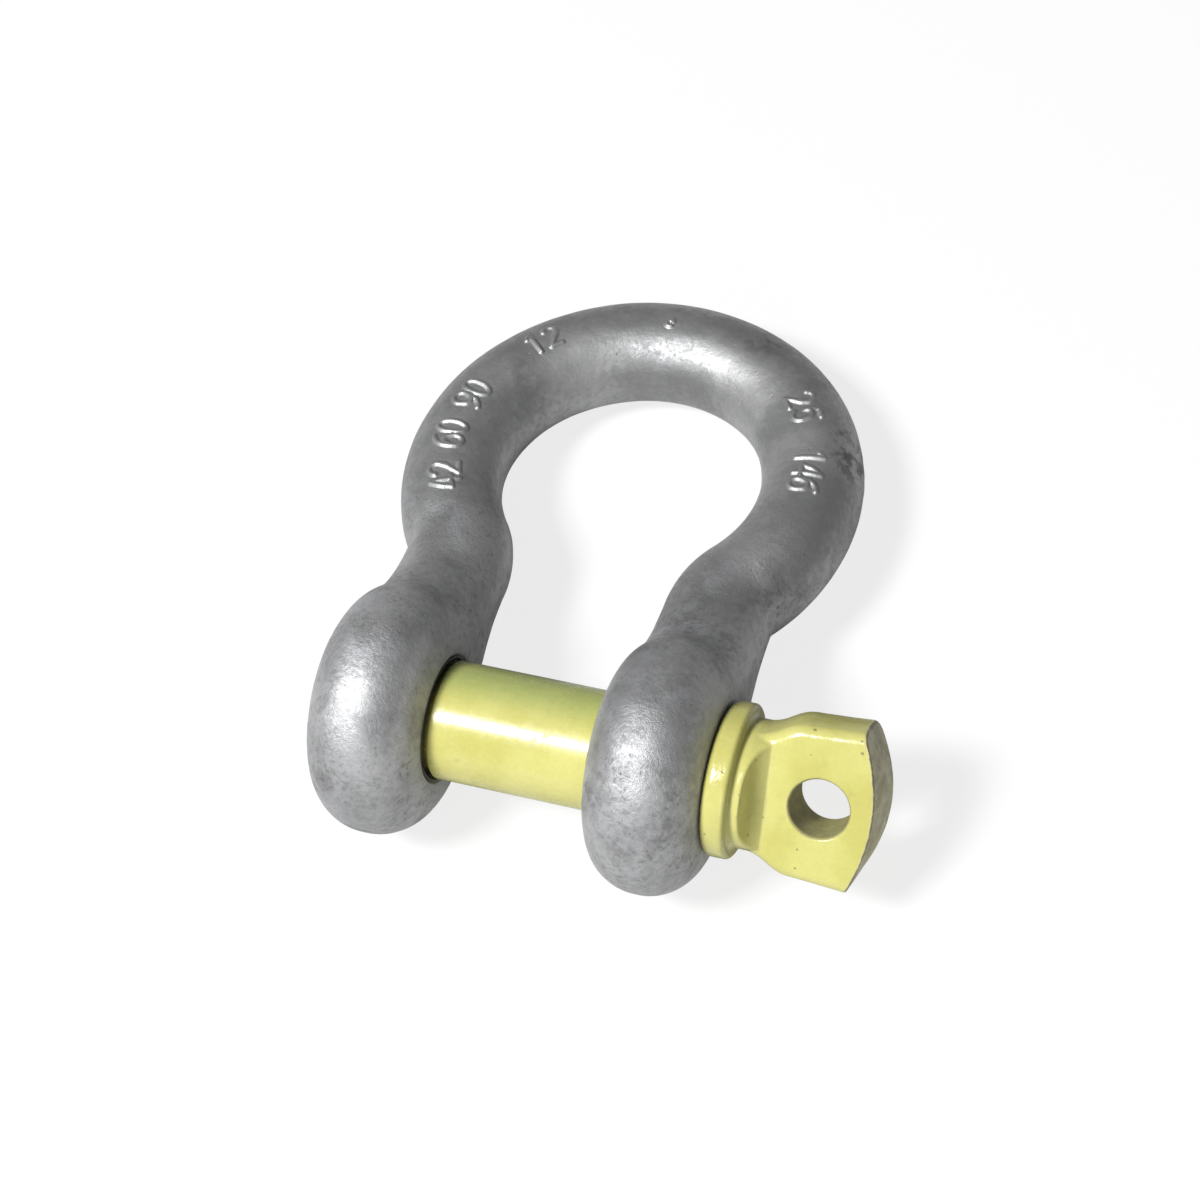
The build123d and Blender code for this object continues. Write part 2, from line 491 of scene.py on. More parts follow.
def start_group(
    kind: str, name: str, inputs: dict[str, object], result: str
) -> tuple[NodeBench, dict[str, NodeSocket], NodeSocket]:
    """Start a node group with named inputs and one output.

    Args:
        kind: Geometry or Shader.
        name: The group's name.
        inputs: What each input is usually set to, or its kind where it has no usual value.
        result: The output's kind.

    Returns:
        The bench, the input sockets by name, and the output's socket.
    """
    tree = bpy.data.node_groups.new(name, kind + "NodeTree")
    kinds = {float: "Float", int: "Int"}
    for key, value in inputs.items():
        socket_type = "NodeSocket" + kinds.get(type(value), value)
        socket = tree.interface.new_socket(key, in_out="INPUT", socket_type=socket_type)
        if type(value) in kinds:
            socket.default_value = value
    tree.interface.new_socket("Result", in_out="OUTPUT", socket_type="NodeSocket" + result)
    bench = NodeBench(tree)
    given = bench.add("NodeGroupInput")
    end = bench.add("NodeGroupOutput")
    return bench, {socket.name: socket for socket in given.outputs}, end.inputs[0]


def close_skin(bench: NodeBench, skin: object, depth: object) -> NodeSocket:
    """Drop a skin's collapsed faces and close it with an inner side.

    Args:
        bench: The tree's bench.
        skin: The socket that gives the skin.
        depth: How far the inner side lies along the faces, in millimetres.

    Returns:
        The socket that gives the closed skin.
    """
    area = bench.put("GeometryNodeInputMeshFaceArea", {})
    flat = bench.math("LESS_THAN", area, COLLAPSED_AREA)
    sorted_out = {"Geometry": skin, "Selection": flat}
    clean = bench.put("GeometryNodeDeleteGeometry", sorted_out, domain="FACE")
    outer = bench.put("GeometryNodeMergeByDistance", {"Geometry": clean, "Distance": WELD_GAP})
    pushed = {"Mesh": outer, "Offset Scale": depth, "Individual": False}
    inner = bench.put("GeometryNodeFlipFaces", {"Mesh": bench.put("GeometryNodeExtrudeMesh", pushed)})
    both = bench.add("GeometryNodeJoinGeometry")
    bench.link(outer, both.inputs[0])
    bench.link(inner, both.inputs[0])
    return bench.put("GeometryNodeMergeByDistance", {"Geometry": both.outputs[0], "Distance": WELD_GAP})


def finish_tree(bench: NodeBench, piece: object, look: object, result: object) -> None:
    """End a tree by making its geometry real and giving it its material.

    Args:
        bench: The tree's bench.
        piece: The geometry's socket.
        look: The material's socket.
        result: The output's socket.
    """
    real = bench.put("GeometryNodeRealizeInstances", {"Geometry": piece})
    bench.link(bench.put("GeometryNodeSetMaterial", {"Geometry": real, "Material": look}), result)


def grow(tree: NodeTree, base: Mesh, values: dict[str, object]) -> Mesh:
    """Run a tree and keep its result as a plain mesh.

    Args:
        tree: The Geometry Nodes tree.
        base: The mesh that it starts from.
        values: The tree's inputs by name.

    Returns:
        The mesh.
    """
    holder = add_object(tree.name, base)
    modifier = holder.modifiers.new(tree.name, "NODES")
    modifier.node_group = tree
    for item in tree.interface.items_tree:
        if item.in_out == "INPUT" and item.name in values:
            modifier[item.identifier] = values[item.name]
    graph = bpy.context.evaluated_depsgraph_get()
    mesh = bpy.data.meshes.new_from_object(holder.evaluated_get(graph))
    bpy.data.objects.remove(holder)
    return mesh


class SharedEffects:
    """Shader groups that both finishes use."""

    def __init__(self) -> None:
        """Build every group once."""
        self.cloud = self.build_cloud()
        self.specks = self.build_specks()
        self.grain = self.build_grain()
        self.smudge = self.build_smudge()

    def start(self, name: str, **numbers: float) -> tuple[NodeBench, dict, object, object]:
        """Start a group that reads a place and gives one value.

        Args:
            name: The group's name.
            **numbers: Its named numbers and their usual values, with Size in millimetres first.

        Returns:
            The bench, the input sockets by name, the scale that Size gives, and the output socket.
        """
        bench, given, result = start_group("Shader", name, {"Place": "Vector", **numbers}, "Float")
        return bench, given, bench.math("DIVIDE", 1.0 / MILLIMETRE, given["Size"]), result

    def build_cloud(self) -> NodeTree:
        """Build the cloudy patches, from 0 to 1."""
        bench, given, scale, result = self.start("cloudy_patches", Size=20.0, Roughness=0.6)
        cloud = bench.noise(given["Place"], scale, 6.0, given["Roughness"])
        bench.link(bench.span(cloud, 0.3, 0.7), result)
        return bench.tree

    def build_specks(self) -> NodeTree:
        """Build small uneven specks, 1 at their middle and 0 between them."""
        bench, given, scale, result = self.start("scattered_specks", Size=3.0, Amount=0.3)
        cells = bench.add("ShaderNodeTexVoronoi", feature="F1")
        bench.link(given["Place"], cells.inputs["Vector"])
        bench.link(scale, cells.inputs["Scale"])
        split = bench.add("ShaderNodeSeparateColor")
        bench.link(cells.outputs["Color"], split.inputs["Color"])
        chosen = bench.math("LESS_THAN", split.outputs[0], given["Amount"])
        reach = bench.math("MULTIPLY_ADD", split.outputs[1], 0.13, 0.05)
        wobble = bench.noise(given["Place"], bench.math("MULTIPLY", scale, 7.0), 1.0)
        ragged = bench.math("MULTIPLY_ADD", wobble, 0.16, -0.08)
        near = bench.math("DIVIDE", bench.math("ADD", cells.outputs["Distance"], ragged), reach)
        spot = bench.span(near, 0.5, 1.1, 1.0, 0.0)
        bench.link(bench.math("MULTIPLY", spot, chosen), result)
        return bench.tree

    def build_smudge(self) -> NodeTree:
        """Build small ragged smudges that gather in some places."""
        bench, given, scale, result = self.start("ragged_smudges", Size=2.6, Spread=17.0, Amount=0.5)
        marks = bench.noise(given["Place"], scale, 3.0, 0.6)
        wide = bench.math("DIVIDE", 1.0 / MILLIMETRE, given["Spread"])
        spread = bench.noise(given["Place"], wide, 2.0)
        gather = bench.math("MULTIPLY", bench.math("SUBTRACT", spread, 0.5), 0.55)
        more = bench.math("MULTIPLY", bench.math("SUBTRACT", given["Amount"], 0.5), 0.25)
        total = bench.math("ADD", marks, bench.math("ADD", gather, more))
        bench.link(bench.span(total, 0.55, 0.74), result)
        return bench.tree

    def build_grain(self) -> NodeTree:
        """Build the height of a rough skin, from 0 to 1."""
        bench, given, scale, result = self.start("rough_skin", Size=1.0, Fine=0.4)
        coarse = bench.noise(given["Place"], scale, 3.0)
        fine = bench.noise(given["Place"], bench.math("MULTIPLY", scale, 3.7), 2.0)
        amount = bench.math("MULTIPLY", bench.math("SUBTRACT", fine, 0.5), given["Fine"])
        bench.link(bench.math("ADD", coarse, amount), result)
        return bench.tree


class Dresser:
    """A material on the bench, with its surface and its colour so far."""

    def __init__(self, name: str, colour: Colour) -> None:
        """Start a material with a Principled shader.

        Args:
            name: The material's name.
            colour: The colour under everything else.
        """
        self.material = bpy.data.materials.new(name)
        self.material.use_nodes = True
        self.bench = NodeBench(self.material.node_tree)
        self.surface = self.material.node_tree.nodes["Principled BSDF"]
        self.colour: object = colour

    @cached_property
    def place(self) -> NodeSocket:
        """Read the place on the piece, in metres."""
        return self.bench.add("ShaderNodeTexCoord").outputs["Object"]

    def effect(self, group: NodeTree, shift: float = 0.0, **values: float) -> NodeSocket:
        """Place a shared effect.

        Args:
            group: The effect's group.
            shift: Moves the pattern, in metres, so that two uses differ.
            **values: The group's numbers by name.

        Returns:
            The effect's value.
        """
        place = self.place
        if shift:
            move = {"Vector": place, "Location": (shift, 2.0 * shift, -shift)}
            place = self.bench.put("ShaderNodeMapping", move)
        return self.bench.put("ShaderNodeGroup", {"Place": place, **values}, node_tree=group)

    def mask(self, name: str) -> NodeSocket:
        """Read a value that the mesh keeps at its points."""
        return self.bench.add("ShaderNodeAttribute", attribute_name=name).outputs["Fac"]

    def cover(self, share: NodeSocket, colour: object) -> None:
        """Lay a share of another colour over the colour so far."""
        self.colour = self.bench.mix(share, self.colour, colour)

    def finish(self, metallic: object, roughness: object, height: object, depth: float) -> Material:
        """Feed the surface.

        Args:
            metallic: How metallic it is.
            roughness: How rough it is.
            height: The socket of its height, from 0 to 1.
            depth: What a height of 1 is, in millimetres.

        Returns:
            The material.
        """
        bump = {"Height": height, "Distance": depth * MILLIMETRE, "Strength": 1.0}
        values = {
            "Base Color": self.colour,
            "Metallic": metallic,
            "Roughness": roughness,
            "Normal": self.bench.put("ShaderNodeBump", bump),
        }
        for name, value in values.items():
            self.bench.feed(self.surface.inputs[name], value)
        return self.material


@dataclass(frozen=True)
class GalvanisedSteel:
    """Hot-dip zinc on a forging: satin grey with fine patches, pale by the pin, with dark smudges. The
    paleness is real bloom by the pin and painted fill light on the eyes and jaw faces; some smudges are
    painted shade, and the bores get painted shade.
    """

    light: Colour = (0.46, 0.462, 0.465)
    dark: Colour = (0.305, 0.307, 0.31)
    # Dark colour for real smudges and specks, and for painted shade in some patches.
    soot: Colour = (0.09, 0.09, 0.092)
    # Pale bloom colour, slightly blue like zinc; it also serves as painted fill light on the eyes and
    # jaw faces and offsets the pin's reflected yellow.
    bloom: Colour = (0.535, 0.54, 0.575)
    # Painted shade: the dark colour laid in the bores and in the thread inside the eye.
    inside: Colour = (0.15, 0.143, 0.12)
    metallic: float = 0.75
    skin_depth: float = 0.2

    def build(self, effects: SharedEffects) -> Material:
        """Build the material.

        Args:
            effects: The shared effects.

        Returns:
            The material.
        """
        make = Dresser("hot_dip_zinc", self.dark)
        bench = make.bench
        grime, chalk = make.mask("grime"), make.mask("chalk")
        broad = make.effect(effects.cloud, Size=30.0, Roughness=0.5)
        small = make.effect(effects.cloud, shift=0.31, Size=2.6, Roughness=0.65)
        patches = bench.math("MULTIPLY_ADD", small, 0.36, bench.math("MULTIPLY", broad, 0.64))
        make.cover(bench.span(patches, 0.1, 0.9), self.light)
        pale = bench.span(make.effect(effects.cloud, shift=0.57, Size=11.0, Roughness=0.6), 0.6, 1.0)
        # The second share is real bloom by the pin and painted fill light on the eyes and jaw faces.
        pale, powder_and_fill = bench.vary(pale, grime, 0.3, 0.15), bench.vary(chalk, small, 0.25, 0.4)
        make.cover(bench.math("MAXIMUM", pale, powder_and_fill), self.bloom)
        shade = bench.span(make.effect(effects.cloud, shift=0.91, Size=15.0, Roughness=0.6), 0.55, 1.0)
        make.cover(bench.vary(shade, grime, 0.26, 0.08), self.soot)
        smudge = make.effect(effects.smudge, Size=1.7, Spread=13.0, Amount=0.56)
        make.cover(bench.vary(smudge, grime, 0.36, 0.06), self.soot)
        # Blots at the listed patches: partly real smudges, partly painted shade on the right limb and
        # right eye.
        blots = make.effect(effects.smudge, shift=0.67, Size=4.5, Spread=12.0, Amount=0.85)
        make.cover(bench.math("MULTIPLY", blots, make.mask("soot")), self.soot)
        pores = make.effect(effects.specks, Size=2.6, Amount=0.2)
        make.cover(bench.vary(pores, grime, 0.45, 0.25), self.soot)
        # Painted shade: the bore walls and the eye's thread are darkened.
        make.cover(bench.math("MULTIPLY", make.mask("hollow"), 0.72), self.inside)
        metallic = bench.math("MULTIPLY_ADD", chalk, -0.4, self.metallic)
        rough = bench.math("MULTIPLY_ADD", smudge, 0.1, bench.span(small, 0.0, 1.0, 0.53, 0.46))
        rough = bench.math("MULTIPLY_ADD", chalk, 0.12, rough)
        grain = bench.vary(make.effect(effects.grain, Size=1.25, Fine=0.8), grime, 0.75, 0.32)
        swell = make.effect(effects.cloud, shift=0.13, Size=9.0, Roughness=0.5)
        height = bench.math("MULTIPLY_ADD", swell, 0.6, grain)
        height = bench.math("SUBTRACT", height, bench.math("MULTIPLY", pores, 0.5))
        return make.finish(metallic, rough, height, self.skin_depth)


@dataclass(frozen=True)
class YellowPaint:
    """Pale yellow paint on a forged and turned pin, gone from the sheared end, with small pits. Its
    upper side is painted darker and greener as shade, and its end inside the eye is painted dark as
    shade.
    """

    body: Colour = (0.51, 0.487, 0.14)
    pale: Colour = (0.585, 0.562, 0.192)
    # Painted shade: the darker green on the shank's upper side.
    green: Colour = (0.35, 0.42, 0.145)
    shade: Colour = (0.33, 0.31, 0.10)
    # Dark colour for real pits, and painted shade on the end of the pin that sits in the eye.
    pit: Colour = (0.10, 0.09, 0.04)
    scale: Colour = (0.75, 0.71, 0.53)
    stain: Colour = (0.34, 0.31, 0.21)
    steel: Colour = (0.15, 0.125, 0.085)
    grime: Colour = (0.2, 0.18, 0.12)
    ring_scale: float = 1100.0
    skin_depth: float = 0.13

    def build(self, effects: SharedEffects) -> Material:
        """Build the material.

        Args:
            effects: The shared effects.

        Returns:
            The material.
        """
        make = Dresser("pin_paint", self.body)
        bench = make.bench
        turned, ends, dirty = make.mask("turned"), make.mask("sheared"), make.mask("grime")
        broad = make.effect(effects.cloud, Size=26.0, Roughness=0.5)
        make.cover(bench.span(broad, 0.0, 1.0), self.pale)
        fine = make.effect(effects.cloud, shift=0.21, Size=3.0, Roughness=0.7)
        # Painted shade: the shank's upper side turns darker and greener.
        make.cover(bench.vary(make.mask("thin"), fine, 0.4, 0.55), self.green)
        dirt = make.effect(effects.smudge, shift=0.43, Size=2.4, Spread=14.0, Amount=0.35)
        make.cover(bench.math("MULTIPLY", dirt, 0.3), self.shade)
        mottle = make.effect(effects.cloud, shift=0.77, Size=1.6, Roughness=0.6)
        make.cover(bench.math("MULTIPLY", mottle, 0.1), self.shade)
        pits = make.effect(effects.specks, Size=4.2, Amount=0.24)
        pits = bench.math("MULTIPLY", pits, bench.math("SUBTRACT", 1.0, turned))
        make.cover(bench.math("MULTIPLY", pits, 0.65), self.pit)
        patches = make.effect(effects.cloud, shift=0.36, Size=7.0, Roughness=0.75)
        make.cover(bench.vary(ends, fine, 0.6, 0.45), bench.mix(patches, self.stain, self.scale))
        fray = bench.math("MULTIPLY_ADD", bench.math("SUBTRACT", fine, 0.5), 0.8, make.mask("worn"))
        bare = bench.span(fray, 0.48, 0.74)
        make.cover(bench.math("MULTIPLY", bare, 0.66), self.steel)
        make.cover(bench.vary(dirty, fine, 0.3, 0.45), self.grime)
        # Painted shade: the end of the pin inside the eye is darkened.
        make.cover(bench.math("MULTIPLY", make.mask("hollow"), 0.75), self.pit)
        rough = bench.math("MULTIPLY_ADD", dirt, 0.15, bench.span(fine, 0.2, 1.0, 0.17, 0.24))
        for mask, gain in ((ends, 0.3), (turned, 0.06), (dirty, 0.4)):
            rough = bench.math("MULTIPLY_ADD", mask, gain, rough)
        lathe = bench.put("ShaderNodeMapping", {"Vector": make.place, "Scale": (1.0, 0.02, 0.02)})
        rings = bench.math("MULTIPLY", bench.noise(lathe, self.ring_scale, 3.0), turned)
        grain = make.effect(effects.grain, Size=3.4, Fine=0.35)
        skin = bench.math("MULTIPLY", grain, bench.math("MULTIPLY_ADD", turned, -0.65, 1.0))
        height = bench.math("MULTIPLY_ADD", rings, 0.4, skin)
        height = bench.math("SUBTRACT", height, bench.math("MULTIPLY", pits, 0.6))
        return make.finish(bench.math("MULTIPLY", bare, 0.6), rough, height, self.skin_depth)


# The bow


@dataclass(frozen=True)
class Bore:
    """The bore of one eye."""

    side: int
    radius: float
    inner_bevel: float
    outer_bevel: float


@dataclass
class ForgedBow:
    """The forged body: crown, necks, legs and the two round eyes."""

    jaw_width: float = 60.0
    eye_thickness: float = 39.5
    eye_radius: float = 45.0
    bar_diameter: float = 38.0
    crown_radius: float = 67.5
    crown_distance: float = 118.4
    neck_radius: float = 25.8
    leg_straight: float = 1.6
    half_land: float = 0.6
    plain_bore: Bore = Bore(1, 21.5, 1.2, 1.2)
    thread_bore: Bore = Bore(-1, 21.3, 2.0, 1.8)
    bore_edge_round: float = 0.35
    bore_land: float = 0.9
    web_clearance: float = 4.0
    quarter_steps: int = 22
    crown_step: float = 1.3
    eye_step: float = 1.15
    web_step: float = 1.035
    web_rings: int = 5
    unevenness: float = 0.28
    hills: Hills = ((0.55, 46.0, 3), (0.3, 21.0, 8), (0.15, 10.0, 5))
    flash_height: float = 0.2
    flash_span: Span = (1.9, 0.5)
    flash_start: Span = (55.0, 75.0)
    even_span: Span = (25.0, 30.0)
    # Painted shade in the bores, by distance from the pin's axis.
    bore_shade_span: Span = (22.2, 21.5)
    # Pale zinc bloom by the pin; the spans below it add painted fill light on the eyes and the jaw
    # faces.
    chalk_span: Span = (42.0, 28.0)
    eye_fill_span: Span = (62.0, 40.0)
    jaw_fill_span: Span = (38.0, 32.0)
    jaw_fill_reach: Span = (60.0, 45.0)
    grime_span: Span = (120.0, 60.0)
    # Dark smudged patches, each as a place, a reach and a share: partly real smudges, partly painted
    # shade on the right limb and the right eye.
    smoked: tuple[tuple[tuple[float, float, float], float, float], ...] = (
        ((81.0, 140.0, 9.0), 21.0, 0.75),
        ((34.0, 186.0, 13.0), 17.0, 0.5),
        ((-52.0, 150.0, 12.0), 12.0, 0.3),
        ((52.0, -32.0, 22.0), 34.0, 0.32),
        ((48.0, 42.0, 24.0), 24.0, 0.3),
    )

    def __post_init__(self) -> None:
        """Work out the sizes that follow from the others."""
        self.half_eye = self.eye_thickness / 2
        self.eye_centre = self.jaw_width / 2 + self.half_eye
        self.neck_turn = math.acos(
            (self.eye_centre + self.neck_radius) / (self.crown_radius + self.neck_radius)
        )
        reach = (self.crown_radius + self.neck_radius) * math.sin(self.neck_turn)
        self.leg_length = self.crown_distance - reach
        self.lie = math.asin(
            (self.eye_radius - self.bar_diameter / 2)
            / (self.crown_distance + self.crown_radius + self.half_land)
        )
        self.eye_round = self.half_eye - self.half_land
        self.web_radius = self.eye_radius - self.eye_round

    def lay_down(self, points: np.ndarray) -> np.ndarray:
        """Turn points from the bow's own frame into the part's frame.

        Args:
            points: Across, along and above the flat of the bow.

        Returns:
            The points as the shackle lies.
        """
        across, along, above = points[..., 0], points[..., 1], points[..., 2]
        cosine, sine = math.cos(self.lie), math.sin(self.lie)
        return np.stack([across, along * cosine + above * sine, above * cosine - along * sine], axis=-1)

    def bar_stations(self) -> tuple[np.ndarray, np.ndarray, np.ndarray]:
        """Follow the centre line from one leg over the crown to the other.

        Returns:
            The centres, the outward normals and the half thicknesses.
        """
        neck_count = max(8, round(self.neck_radius * self.neck_turn / self.crown_step))
        share = np.linspace(0.0, 1.0, neck_count + 1)
        angle = math.pi - share * self.neck_turn
        neck_normal = -rays(angle)
        neck = np.array([self.eye_centre + self.neck_radius, self.leg_length])
        neck = neck - self.neck_radius * neck_normal
        half_bar = self.bar_diameter / 2
        neck_half = self.half_eye + (half_bar - self.half_eye) * share
        sweep = math.pi + 2 * self.neck_turn
        count = round(self.crown_radius * sweep / self.crown_step)
        turn = np.linspace(-self.neck_turn, math.pi + self.neck_turn, count + 1)[1:-1]
        crown_normal = rays(turn)
        crown = np.array([0.0, self.crown_distance]) + self.crown_radius * crown_normal
        mirror = np.array([-1.0, 1.0])
        centres = np.concatenate([neck, crown, (neck * mirror)[::-1]])
        normals = np.concatenate([neck_normal, crown_normal, (neck_normal * mirror)[::-1]])
        halves = np.concatenate([neck_half, np.full(len(crown), half_bar), neck_half[::-1]])
        return centres, normals, halves

    def ring(self, half: float) -> np.ndarray:
        """Draw the bar's section.

        Args:
            half: Half the section's thickness.

        Returns:
            Its points, outwards and above, from the middle of the outer land round.
        """
        radius = half - self.half_land
        quarter = np.linspace(0.0, math.pi / 2, self.quarter_steps + 1)
        parts = []
        for number, (out, up) in enumerate(((1, 1), (-1, 1), (-1, -1), (1, -1))):
            angle = quarter + number * math.pi / 2
            corner = np.array([out, up]) * self.half_land
            if number in (0, 2):
                parts.append(np.array([[out * half, 0.0]]))
            parts.append(corner + radius * rays(angle))
        return np.concatenate(parts)

    def add_bar(self, shell: Shell) -> None:
        """Add the crown and both necks."""
        centres, normals, halves = self.bar_stations()
        rows = []
        for centre, normal, half in zip(centres, normals, halves):
            ring = self.ring(float(half))
            flat = centre + ring[:, :1] * normal
            rows.append(np.concatenate([flat, ring[:, 1:]], axis=1))
        shell.grid(np.array(rows), closed=True)

    def web_edge(self) -> tuple[np.ndarray, np.ndarray, np.ndarray]:
        """Follow the upper edge of the flat web from the leg round the eye.

        Returns:
            The points along and above, their outward normals, and the bore's angle for each.
        """
        blend_end = self.leg_length - self.leg_straight
        gap = self.web_radius - self.half_land
        blend = (blend_end**2 + self.half_land**2 - self.web_radius**2) / (2 * gap)
        turn = math.atan2(self.half_land + blend, blend_end)
        leg_angle = math.asin(self.half_land / (self.plain_bore.radius + self.web_clearance)) / 2
        straight = np.array([[self.leg_length, self.half_land]])
        hollow_count = round(blend * (math.pi / 2 - turn) / self.eye_step)
        share = np.linspace(0.0, 1.0, hollow_count + 1)
        angle = -math.pi / 2 - share * (math.pi / 2 - turn)
        spokes = rays(angle)
        hollow = np.array([blend_end, self.half_land + blend]) + blend * spokes
        round_count = round((math.pi - turn) * self.web_radius / self.web_step)
        bend = np.linspace(turn, math.pi, round_count + 1)[1:]
        out = rays(bend)
        edge = np.concatenate([straight, hollow, self.web_radius * out])
        normals = np.concatenate([[[0.0, 1.0]], -spokes, out])
        reach = leg_angle + (turn - leg_angle) * np.linspace(0.0, 1.0, hollow_count + 2)
        return edge, normals, np.concatenate([reach, bend])

    def add_eye(self, shell: Shell, bore: Bore) -> None:
        """Add one eye with its rim, its flat faces and its bore.

        Args:
            shell: Where the grids go.
            bore: The eye's bore.
        """
        edge, normals, angles = self.web_edge()
        quarter = np.linspace(0.0, math.pi / 2, self.quarter_steps + 1)
        turn = np.concatenate([quarter, quarter + math.pi / 2])
        shift = np.repeat([self.half_land, -self.half_land], len(quarter))
        across = bore.side * self.eye_centre + shift + self.eye_round * np.cos(turn)
        height = self.eye_round * np.sin(turn)
        profile = self.bore_profile(bore)
        for level in (1.0, -1.0):
            mirror = np.array([1.0, level])
            flat = (edge[:, None, :] + height[None, :, None] * normals[:, None, :]) * mirror
            wide = np.broadcast_to(across[None, :, None], (*flat.shape[:2], 1))
            shell.grid(np.concatenate([wide, flat], axis=-1))
            fence = np.concatenate([[[self.leg_length, 0.0]], edge])
            bend = np.concatenate([[0.0], angles])
            for end in (profile[0], profile[-1]):
                circle = end[1] * rays(bend)
                steps = np.linspace(0.0, 1.0, self.web_rings + 1)[:, None, None]
                web = (circle + (fence - circle) * steps) * mirror
                place = np.full((*web.shape[:2], 1), end[0])
                shell.grid(np.concatenate([place, web], axis=-1))
            shell.grid(revolve(profile, rays(bend) * mirror))

    def bore_profile(self, bore: Bore) -> np.ndarray:
        """Draw a bore's wall from the jaw to the outer face.

        Args:
            bore: The bore.

        Returns:
            Its points, across and out from the pin's axis.
        """
        near = self.jaw_width / 2
        far = near + self.eye_thickness
        edge = self.bore_edge_round
        corners = [
            (near, bore.radius + bore.inner_bevel + self.bore_land, 0.0),
            (near, bore.radius + bore.inner_bevel, edge),
            (near + bore.inner_bevel, bore.radius, edge),
            (far - bore.outer_bevel, bore.radius, edge),
            (far, bore.radius + bore.outer_bevel, edge),
            (far, bore.radius + bore.outer_bevel + self.bore_land, 0.0),
        ]
        points = rounded_corners(corners, steps=3)
        return points * np.array([bore.side, 1.0])

    def sunk(self, points: np.ndarray) -> np.ndarray:
        """Work out how far the uneven forging lies inside its plain shape.

        Args:
            points: Places on the plain shape, in the bow's own frame.

        Returns:
            The depth at each point, in millimetres.
        """
        along, above = points[:, 1], points[:, 2]
        sink = layered_hills(points, self.hills)
        line = ease(np.abs(above), *self.flash_span) * ease(along, *self.flash_start)
        depth = self.unevenness * sink + self.flash_height * 0.6
        depth = depth * ease(np.hypot(along, above), *self.even_span)
        ridge = self.flash_height * line * (0.5 + 0.5 * soft_hills(points, 8.0, 12))
        return np.maximum(depth - ridge, 0.0)

    def hammer(self, mesh: Mesh) -> None:
        """Give the forging its slight unevenness, which only ever goes inwards, and mark its finish.
        The marks also carry painted light and shade: shade in the bores, fill light on the eyes and jaw
        faces, and shade in some dark patches.

        Args:
            mesh: The bow's mesh in its own frame.
        """
        points, normals = read_points(mesh), read_normals(mesh)
        along, from_pin = points[:, 1], np.hypot(points[:, 1], points[:, 2])
        write_points(mesh, points - normals * self.sunk(points)[:, None])
        # Painted shade in the bores.
        write_mask(mesh, "hollow", ease(from_pin, *self.bore_shade_span))
        # Real bloom by the pin, with painted fill light on the eyes and on the jaw faces.
        chalk = 0.65 * ease(from_pin, *self.chalk_span) + 0.3 * ease(along, *self.eye_fill_span)
        jaw = ease(np.abs(points[:, 0]), *self.jaw_fill_span) * ease(from_pin, *self.jaw_fill_reach)
        chalk = np.maximum(chalk, jaw)
        write_mask(mesh, "chalk", chalk * (0.55 + 0.45 * soft_hills(points, 16.0, 17)))
        grime = ease(along, *self.grime_span) * (0.5 + 0.5 * soft_hills(points, 40.0, 31))
        write_mask(mesh, "grime", grime)
        # Dark patches at the listed places: partly real smudges, partly painted shade.
        soot = np.zeros(len(points))
        for place, reach, share in self.smoked:
            away = np.linalg.norm(points - np.array(place), axis=1)
            soot = np.maximum(soot, share * ease(away, reach, 0.3 * reach))
        write_mask(mesh, "soot", soot)

    def build(self, look: Material) -> Object:
        """Build the bow and let it stand for its node.

        Args:
            look: Its material.

        Returns:
            The bow.
        """
        shell = Shell()
        self.add_bar(shell)
        for bore in (self.plain_bore, self.thread_bore):
            self.add_eye(shell, bore)
        mesh = shell.mesh("forged_bow", crease_degrees=32.0)
        self.hammer(mesh)
        write_points(mesh, self.lay_down(read_points(mesh)))
        piece = place_piece("forged_bow", mesh, Body.BOW, Finish.GALVANISED, look)
        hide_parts("bow")
        return piece


# The pin


